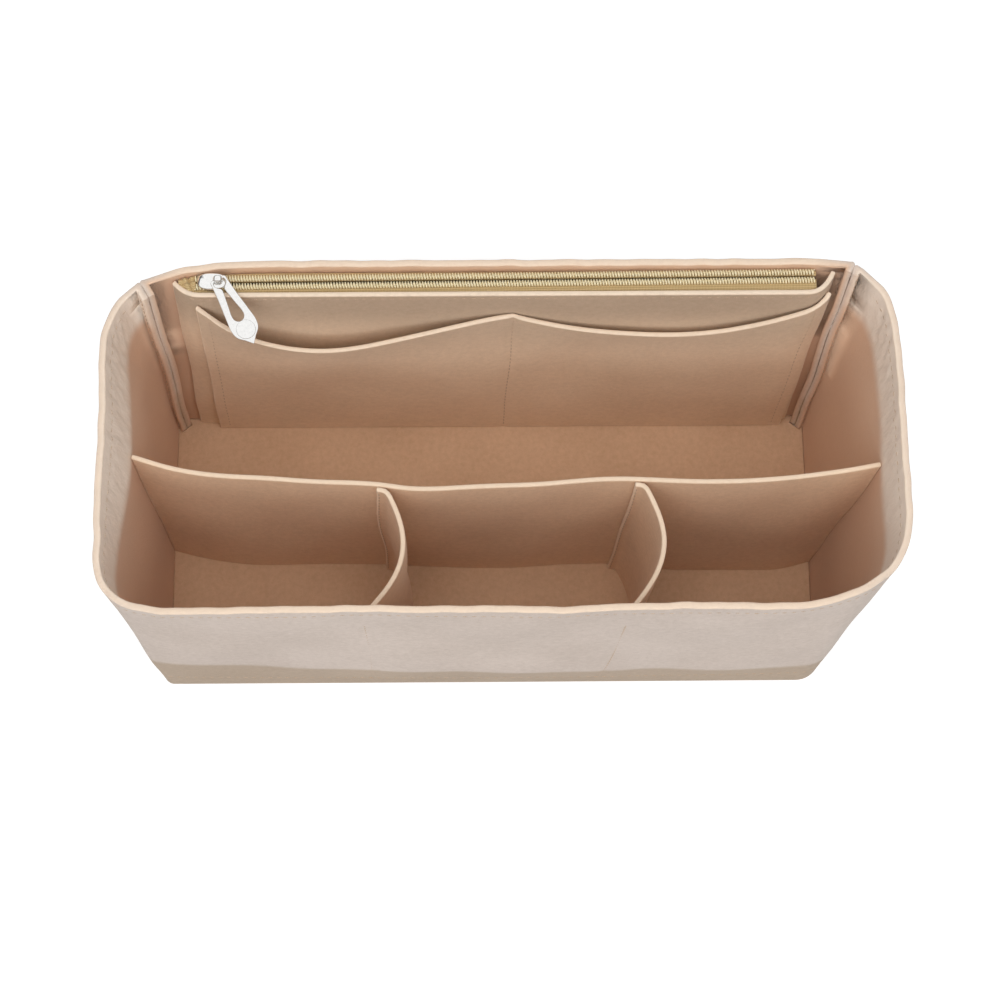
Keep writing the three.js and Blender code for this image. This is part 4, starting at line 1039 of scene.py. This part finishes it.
SLIP_SPAN = (0, 129.75, 257)  # the panel's left end, middle and right end
SLIP_SEAMS = {"left": -0.965, "centre": 0.0, "right": 0.965}  # shares from the middle to the ends
SLIP_HALF = 127  # millimetres that a share of 1 stands for beside a seam
SLIP_RISE = 110  # height for which the panel's rows are spaced
slip_shares = np.interp(graded(0, SLIP_SPAN[2], 2), SLIP_SPAN, [-1, 0, 1])
slip_rows = graded(0, SLIP_RISE, 3.5) / SLIP_RISE
slip_middle = drift(slip_grid(slip_shares, slip_rows))
seam_gap = np.min([np.abs(slip_shares - share) for share in SLIP_SEAMS.values()], 0)
# The slip panel's face is painted darker above 85 mm: painted shade.
felt_sheet("slip_pocket_felt", slip_middle, PANEL_FELT, panel_felt, ["slip_pocket_panel"],
           back_dent=groove(seam_gap * SLIP_HALF, 0.4, 1.2)[None] * np.ones((len(slip_rows), 1)),
           looks={"dim": (0, 0.6 * smooth(85, 128, slip_middle[..., 2]))})

# Zip tapes and coils


def zip_y(x):
    """Y of the middle between the two rows of the zip, which runs slightly askew."""
    pouch = pouch_y(np.array([RIM_LEAN]), POUCH_HEIGHT)[0] + PANEL_FELT / 2
    middle = (pouch + inner_face("back", RIM_LEAN, POUCH_HEIGHT)) / 2
    return middle + mix(*ZIP_SET_BACK, (x - ZIP_ENDS[0]) / (ZIP_ENDS[1] - ZIP_ENDS[0]))


def tape_sheet(name, x, y, z, *nodes):
    """A woven sheet of the tape's thickness about a grid of points, thinner within 0.25 mm of its edges."""
    middle = np.stack([np.broadcast_to(x, y.shape), y, z], -1)
    inward, run, rise = border_distance(middle)
    half = TAPE_FELT / 2 * (0.5 + 0.5 * round_share(inward, 0.25))
    off = unit(np.cross(np.gradient(middle, axis=0), np.gradient(middle, axis=1))) * half[..., None]
    points = np.concatenate([(middle + off).reshape(-1, 3), (middle - off).reshape(-1, 3)])
    uv = np.stack([run, rise], -1).reshape(-1, 2) * MM
    make_piece(name, points, sheet_faces(*y.shape, border_of(*y.shape)), tape_look, nodes,
               uv=np.concatenate([uv, uv]))


def zip_tape(name, sign, node):
    """One tape: level under its coil, bent down in a small round fold, and hanging flat on the felt beside it."""
    x = graded(*ZIP_ENDS, 1.0)
    inner = zip_y(x) + sign * COIL_GAP / 2
    levels = (TAPE_TOP, TAPE_TOP - TAPE_LEG)
    if sign > 0:
        felt = [[inner_face("back", place, z) - LAYER_GAP for place in x] for z in levels]
    else:
        felt = [pouch_surface(x, np.full(len(x), z)) + PANEL_FELT / 2 + LAYER_GAP for z in levels]
    outer_top, outer_foot = np.array(felt) - sign * TAPE_FELT / 2
    fold, top = 0.7, TAPE_TOP - TAPE_FELT / 2
    turn = np.linspace(0, np.pi / 2, 6)[:, None]
    flat = inner[None] + (outer_top - sign * fold - inner)[None] * np.linspace(0.02, 0.92, 6)[:, None]
    arc = outer_top[None] - sign * fold * (1 - np.sin(turn))
    drop = np.linspace(0.08, 1, 8)[:, None]
    y = np.concatenate([flat, arc, mix(outer_top[None], outer_foot[None], drop)])
    z = np.concatenate([np.full((6, 1), top), top - fold * (1 - np.cos(turn)), mix(top - fold, levels[1], drop)])
    tape_sheet(name, x, y, z + 0 * y, node)


zip_tape("zip_tape_rear_woven", 1, "zip_tape_rear")
zip_tape("zip_tape_front_woven", -1, "zip_tape_front")


def tape_gather():
    """The crumpled start of the tape at the left, in short waves of 2 to 5 mm."""
    x = graded(-126.2, -119.2, 0.3)
    front = pouch_surface(x, np.full(len(x), 146.0)) + PANEL_FELT / 2 + 0.15
    back = np.array([inner_face("back", place, 146) for place in x]) - 0.15
    share = graded(0, 9, 0.35)[:, None] / 9
    y = mix(front[None], back[None], share)
    height = 146.9 + 0.8 * ripple(x[None] + 0.4 * y, 2.6, 4.1) + 0.5 * ripple(y - 0.3 * x[None], 3.3, 2.2)
    tape_sheet("zip_tape_gather", x, y, height - 0.9 * (1 - bump_share(share) ** 0.4))


COIL_PITCH = 1.15
COIL_STEPS = 12
COIL_SWELL = 0.3
WIRE = 0.33
WIRE_SIDES = 4


def curved(value, power):
    """A power of the size of a value, which keeps its sign."""
    return np.sign(value) * np.abs(value) ** power


def zip_coil(name, sign, node):
    """One coil row: a round wire wound in flattened turns along the zip, its heads towards the other row."""
    turns = int((ZIP_ENDS[1] - ZIP_ENDS[0] - 1) / COIL_PITCH)
    phase = np.arange(turns * COIL_STEPS + 1) / COIL_STEPS
    x = ZIP_ENDS[0] + 0.5 + phase * COIL_PITCH
    angle = 2 * np.pi * (phase + (0 if sign > 0 else 0.5))
    middle = zip_y(x) + sign * (COIL_GAP + COIL_WIDTH - COIL_SWELL) / 2
    y = middle + ((COIL_WIDTH + COIL_SWELL) / 2 - WIRE) * curved(np.cos(angle), 0.72)
    z = COIL_TOP - COIL_HEIGHT / 2 + (COIL_HEIGHT / 2 - WIRE) * curved(np.sin(angle), 0.72)
    path = np.stack([x, y, z], 1)
    ahead = unit(np.gradient(path, axis=0))
    aside = unit(np.cross(ahead, np.array([1.0, 0.13, 0.07])))
    up = np.cross(ahead, aside)
    angle = 2 * np.pi * (np.arange(WIRE_SIDES) + 0.5) / WIRE_SIDES
    ring = np.cos(angle)[:, None] * aside[:, None] + np.sin(angle)[:, None] * up[:, None]
    points, quads = capped(path[:, None] + WIRE * ring)
    make_piece(name, points, quads, coil_look, [node])


zip_coil("zip_coil_rear_wound", 1, "zip_coil_rear")
zip_coil("zip_coil_front_wound", -1, "zip_coil_front")
tape_gather()

# Seams that climb the sheets


def climbing_seam(name, place, low, high, normal, *nodes):
    """A row of stitches from one height to another, through the place that a function gives at each height."""
    path = np.stack([place(z) for z in np.linspace(low, high, 60)])
    stitch_row(name, drift(path), np.broadcast_to(np.array(normal, float), path.shape), *nodes)


for side, (back_foot, back_head, front_foot, front_head) in CROSS_ENDS.items():
    def on_front_face(z, foot=front_foot, head=front_head):
        x = mix(foot, head, z / DIVIDER_HEIGHT)
        return np.array([x, inner_face("front", x, z) - WALL_FELT + 0.42, z])

    def on_flange(z, foot=back_foot, head=back_head):
        x = mix(foot, head, z / DIVIDER_HEIGHT) - FLANGE_BEND - FLANGE_WIDTH / 2
        return np.array([x, divider_y(x, z) - 1.5 * PANEL_FELT - LAYER_GAP, z])

    climbing_seam(f"{side}_cross_divider_front_seam", on_front_face, *SEAM_RISE, (0, -1, 0),
                  f"{side}_cross_divider_seam")
    climbing_seam(f"{side}_flange_stitches", on_flange, SEAM_FOOT, SEAM_RISE[1], (0, -1, 0),
                  f"{side}_flange_seam")

for side, sign, wave in (("left", -1, DIVIDER_WAVES[0]), ("right", 1, DIVIDER_WAVES[-1])):
    def on_side(z, sign=sign, wave=wave):
        y = mix(wave[1], wave[2], z / DIVIDER_HEIGHT)
        return np.array([side_inner_face(sign, [y], np.array([z]))[0] + sign * WALL_FELT, y, z])

    climbing_seam(f"long_divider_stitches_{side}", on_side, *SEAM_RISE, (sign, 0, 0), f"long_divider_seam_{side}")

for side, share in SLIP_SEAMS.items():
    rows = np.linspace(0.02, 0.975, 60)
    grid = slip_grid(share + np.array([-0.0175, 0, 0.0175]), rows)
    normal = unit(np.stack([grid[:, 2, 1] - grid[:, 0, 1], grid[:, 0, 0] - grid[:, 2, 0], 0 * rows], -1))
    path = drift(grid[:, 1]) + normal * (PANEL_FELT / 2 - 0.38)
    stitch_row(f"slip_pocket_stitches_{side}", path, normal, f"slip_pocket_seam_{side}")

tape_row = pouch_line(TAPE_SEAM_Z)
tape_row = tape_row[(tape_row[:, 0] > TAPE_SEAM_ENDS[0]) & (tape_row[:, 0] < TAPE_SEAM_ENDS[1])]
tape_normal = -level_normals(tape_row[None])[0]
stitch_row("zip_tape_stitches", tape_row + tape_normal * (PANEL_FELT / 2 - 0.2), tape_normal, "zip_tape_stitch")

for side, way in (("left", 1), ("right", -1)):
    heights = np.linspace(SEAM_FOOT, CORNER_SEAM_HEAD, 90)
    rows = np.stack([read_levels(wrap_middle, z)[0][::way] for z in heights])
    tip, bend = rows[:, 0], rows[:, len(TIP_STEPS)]
    normal = way * unit(np.stack([tip[:, 1] - bend[:, 1], bend[:, 0] - tip[:, 0], 0 * tip[:, 0]], 1))
    stitch_row(f"corner_stitches_{side}", mix(tip, bend, 0.5) + normal * WALL_FELT / 2, normal,
               f"corner_seam_{side}")

# Slider and pull tab


def joined(shells):
    """Closed shells in one list of points and quads, each of them facing out."""
    points, quads, start = [], [], 0
    for shell_points, shell_quads in shells:
        facing = shell_quads if volume_of(shell_points, shell_quads) > 0 else shell_quads[:, ::-1]
        points.append(shell_points)
        quads.append(facing + start)
        start += len(shell_points)
    return np.concatenate(points), np.concatenate(quads)


def plate_shell():
    """The cover plate: a plan outline of cosine and sine to a power, drawn in ring by ring, with a rounded
    border, skirts beside the coils and a small nose."""
    angle = 2 * np.pi * (np.arange(120) + 0.5) / 120
    x = np.where(np.cos(angle) < 0, *PLATE_ENDS) * curved(np.cos(angle), 0.8)
    y = mix(*PLATE_SIDES, (x + PLATE_ENDS[0]) / sum(PLATE_ENDS)) * curved(np.sin(angle), 0.7)
    share = np.array([0.02, 0.2, 0.38, 0.55, 0.7, 0.81, 0.89, 0.95, 0.985, 1,
                      1, 0.985, 0.95, 0.91, 0.9, 0.5, 0.02])
    fall = np.array([0, 0, 0.02, 0.04, 0.08, 0.13, 0.2, 0.32, 0.48, 0.68])
    across, forth = share[:, None] * y[None], share[:, None] * x[None]
    hump = np.exp(-(((forth + 4.6) / 1.2) ** 2) - (across / 1.7) ** 2)
    rows = len(fall)
    top = PLATE_TOP - fall[:, None] - 0.2 * smooth(1.5, 5.4, forth[:rows]) + hump[:rows]
    foot = mix(PLATE_FOOT, SKIRT_FOOT, smooth(3.3, 3.55, np.abs(y)))[None]
    z = np.concatenate([top, foot + 0.2, foot, foot, foot + 0.1, np.full((3, len(x)), PLATE_FOOT)])
    place = np.array([SLIDER_X, zip_y(SLIDER_X), 0])
    return capped(np.stack([forth, across, z], -1) + place)


def tube_shell(path, half_width, half_thick):
    """A flattened tube in an upright plane along X, as wide along Y as half_width says at each point."""
    ahead = unit(np.gradient(path, axis=0))
    normal = np.stack([-ahead[:, 2], 0 * ahead[:, 0], ahead[:, 0]], 1)
    angle = 2 * np.pi * (np.arange(20) + 0.5) / 20
    wide, thick = curved(np.cos(angle), 0.7), curved(np.sin(angle), 0.8)
    rings = path[:, None] + normal[:, None] * (half_thick * thick)[None, :, None]
    rings[..., 1] += half_width[:, None] * wide[None]
    return capped(rings)


def slider_piece():
    """Cover plate, bridge for the pull tab, foot plate under the tapes and the post between the rows."""
    def in_plane(x, z):
        return np.stack(np.broadcast_arrays(x, float(zip_y(SLIDER_X)), z), 1)

    turn = np.linspace(0, np.pi, 41)
    bridge = in_plane(PIVOT_X - BRIDGE_SIZE[0] * curved(np.cos(turn), 0.8),
                      BRIDGE_FOOT + BRIDGE_SIZE[1] * np.sin(turn) ** 0.75)
    bridge_width = mix(0.36, 1.2, smooth(0.5, 0.95, np.sin(turn)))
    edge = np.linspace(-1, 1, 25)
    foot = in_plane(SLIDER_X + PLATE_ENDS[1] * edge, SLIDER_FOOT)
    foot_width = 1.7 * np.sqrt((1 - np.abs(edge) ** 4).clip(0.02))
    post = in_plane(SLIDER_X, np.linspace(SLIDER_FOOT + 0.1, BRIDGE_FOOT, 9))
    points, quads = joined([plate_shell(), tube_shell(bridge, bridge_width, 0.37),
                            tube_shell(foot, foot_width, 0.4), tube_shell(post, np.full(9, 0.25), 1.5)])
    make_piece("slider_body_polished", points, quads, chrome_look, ["zip_slider"], "slider_body",
               turn_out=False)


def facing(turn, droop):
    """Directions ahead, aside and up of a thing turned by one angle from +X and drooping by another."""
    turn, droop = math.radians(turn), math.radians(droop)
    ahead = np.array([math.cos(droop) * math.cos(turn), math.cos(droop) * math.sin(turn), -math.sin(droop)])
    aside = np.array([-math.sin(turn), math.cos(turn), 0])
    return ahead, aside, np.cross(ahead, aside)


def tab_place(local):
    """Points of the tab's own frame, lying ahead of its pivot, in the insert's frame."""
    pivot = np.array([PIVOT_X, float(zip_y(SLIDER_X)), PIVOT_Z])
    return pivot + local @ np.stack(facing(TAB_TURN - 90, TAB_DROOP))


TAB_OUTSIDE = [(-0.4, 0), (-0.4, 1.6), (-0.4, 2.9), (0.1, 3.42), (1.4, 3.5), (8, 4.1), (15.9, 5.1), (21.5, 5.6),
               (24.6, 4.82), (27.28, 2.24), (29.8, 0)]
TAB_WINDOW = [(0.4, 0), (0.4, 1.4), (0.4, 2.1), (0.8, 2.45), (2.3, 2.45), (3.3, 1.5), (4.2, 0.6), (5.2, 0.5),
              (8, 0.95), (12, 1.65), (15.5, 2.3), (17.4, 2.2), (18.6, 1.3), (19.1, 0)]
# Knots of the outside and of the window that match, and the steps between them
TAB_PARTS = (((0, 4), (0, 3), 24), ((4, 6), (3, 10), 60), ((6, 10), (10, 13), 60))
TAB_EDGE = np.array([0, 0.04, 0.12, 0.22, 0.35])
BOSS_X = 23
BOSS_SIDES = 72


def tab_line(knots, which):
    """A smooth line through knots, cut into the tab's three parts with their own numbers of steps."""
    dense = knots_curve(np.array([(x, y, 0) for x, y in knots], float)[None])[0]
    parts = []
    for part in TAB_PARTS:
        low, high = part[which]
        piece = dense[low * KNOT_STEPS:high * KNOT_STEPS + 1]
        parts.append(along(piece, shares=np.linspace(0, 1, part[2] + 1))[:-1])
    half = np.concatenate([*parts, dense[-1:]])
    return np.concatenate([half, half[-2:0:-1] * (1, -1, 1)])


def tab_piece():
    """The pull tab: a flat bar with rounded edges between its outline and its window's, lofted round as a ring,
    with a thin round boss near its point."""
    outside, inside = tab_line(TAB_OUTSIDE, 0), tab_line(TAB_WINDOW, 1)
    width = np.linalg.norm(outside - inside, axis=1)[:, None]
    rounded = TAB_EDGE[None] + 0 * width
    size = TAB_EDGE[-1]
    at = np.concatenate([rounded, size + (width - 2 * size) * (1 / 3, 2 / 3), width - rounded[:, ::-1]], 1)
    edge = np.minimum(at, width - at).clip(0, size)
    z = 0.05 + np.sqrt(size ** 2 - (size - edge) ** 2)
    flat = inside[:, None] + (outside - inside)[:, None] * (at / width)[..., None]
    top, foot = flat.copy(), flat[:, ::-1].copy()
    top[..., 2], foot[..., 2] = z, -z[:, ::-1]
    rings = np.concatenate([top, foot], 1)
    ring = (tab_place(rings.reshape(-1, 3)), grid_quads(*rings.shape[:2], True, True))
    turn = 2 * np.pi * np.arange(BOSS_SIDES) / BOSS_SIDES
    radius = np.array([0.1, 1.5, 2.6, 3.0, 3.1, 3.25, 3.4, 3.6, 3.75, 3.85, 3.9, 3.95])
    height = np.array([0.66, 0.65, 0.62, 0.6, 0.53, 0.53, 0.59, 0.58, 0.56, 0.5, 0.42, 0.3])
    radius, height = radius[:, None], height[:, None]
    disc = np.stack(np.broadcast_arrays(BOSS_X + radius * np.cos(turn), radius * np.sin(turn), height), -1)
    points, quads = joined([ring, capped(tab_place(disc))])
    make_piece("pull_tab_polished", points, quads, chrome_look, ["pull_tab"], "tab_body", turn_out=False)


slider_piece()
tab_piece()

# Floor of the scene, camera and lights


AIR = 0.42  # light of the air on matte faces


def stage_floor():
    """White paper that also glows for the camera, so that it reads as the photograph's white."""
    look = Look(bpy.data.materials.new("studio_paper"))
    look.nodes.remove(look.nodes["Principled BSDF"])
    shown = look.maths("MAXIMUM", look.ray("Camera"), look.ray("Glossy"))
    paper = look.add("BsdfDiffuse", {"Color": (0.62, 0.62, 0.62, 1)})
    glow = look.add("Emission", {"Color": (1, 1, 1, 1), "Strength": look.maths("MULTIPLY", shown, 0.62)})
    both = look.add("AddShader", {0: paper, 1: glow})
    look.feed(look.nodes["Material Output"].inputs["Surface"], both)
    mesh = bpy.data.meshes.new("studio_floor")
    corners = [(-6, -6, -0.0005), (6, -6, -0.0005), (6, 6, -0.0005), (-6, 6, -0.0005)]
    mesh.from_pydata(corners, [], [(0, 1, 2, 3)])
    mesh.materials.append(look.owner)
    put("studio_floor", mesh)


def studio_air():
    """Even white air: full white for the camera, dark below a soft horizon for mirrors, and dim for matte felt."""
    look = Look(bpy.data.worlds.new("studio_air"))
    bpy.context.scene.world = look.owner
    way = look.add("SeparateXYZ", {0: look.add("TexCoord", {}, "Generated")}, "Z")
    sky = look.add("MapRange", {"Value": way, "From Min": 0.3, "From Max": 0.6, "To Min": 0.12}, "Result")
    shown = look.maths("MAXIMUM", look.ray("Camera"), look.maths("MULTIPLY", look.ray("Glossy"), sky))
    matte = look.maths("MULTIPLY", look.maths("SUBTRACT", 1.0, look.ray("Glossy")), AIR)
    background = look.nodes["Background"]
    background.inputs["Color"].default_value = (1, 1, 1, 1)
    look.feed(background.inputs["Strength"], look.maths("MAXIMUM", shown, matte))


def turned(thing, side, up, back, place):
    """Turns a camera or a lamp, whose own axes become side, up and back, and moves it to its place."""
    thing.matrix_world = Matrix([[side[k], up[k], back[k], place[k]] for k in range(3)] + [[0, 0, 0, 1]])


def soft_lamp(name, place, aim, size, watts):
    lamp = bpy.data.lights.new(name, "AREA")
    lamp.shape = "RECTANGLE"
    lamp.size, lamp.size_y = size
    lamp.energy = watts
    thing = put(name, lamp)
    thing.visible_glossy = False
    back = unit(np.array(place, float) - np.array(aim, float))
    side = unit(np.cross((0, 0, 1), back))
    turned(thing, side, np.cross(back, side), back, place)


def photo_camera():
    """The camera of the photograph: its place and turns fitted to the insert's corners, edges and seams."""
    pitch, yaw, roll = 73.2, 1.9, math.radians(1.5)
    ahead, left, up = facing(90 - yaw, pitch)
    side = math.sin(roll) * up - math.cos(roll) * left
    top = math.sin(roll) * left + math.cos(roll) * up
    data = bpy.data.cameras.new("photo_camera")
    data.sensor_width = 36
    data.lens = 2330 * data.sensor_width / 1000  # 2330 px for a picture 1000 px wide
    camera = put("photo_camera", data)
    turned(camera, side, top, -ahead, np.array([-6.3, -286.3, 1020]) * MM)
    bpy.context.scene.camera = camera


bpy.context.scene.view_settings.view_transform = "Standard"
stage_floor()
studio_air()
soft_lamp("high_softbox", (0.05, -0.7, 1.75), (0, 0, 0.08), (2.0, 1.2), 13)
soft_lamp("overhead_softbox", (0, -0.05, 1.9), (0, 0, 0.1), (0.8, 0.6), 5)
soft_lamp("front_softbox", (-0.3, -1.6, 1.0), (0, 0, 0.08), (1.6, 1.0), 9)
photo_camera()
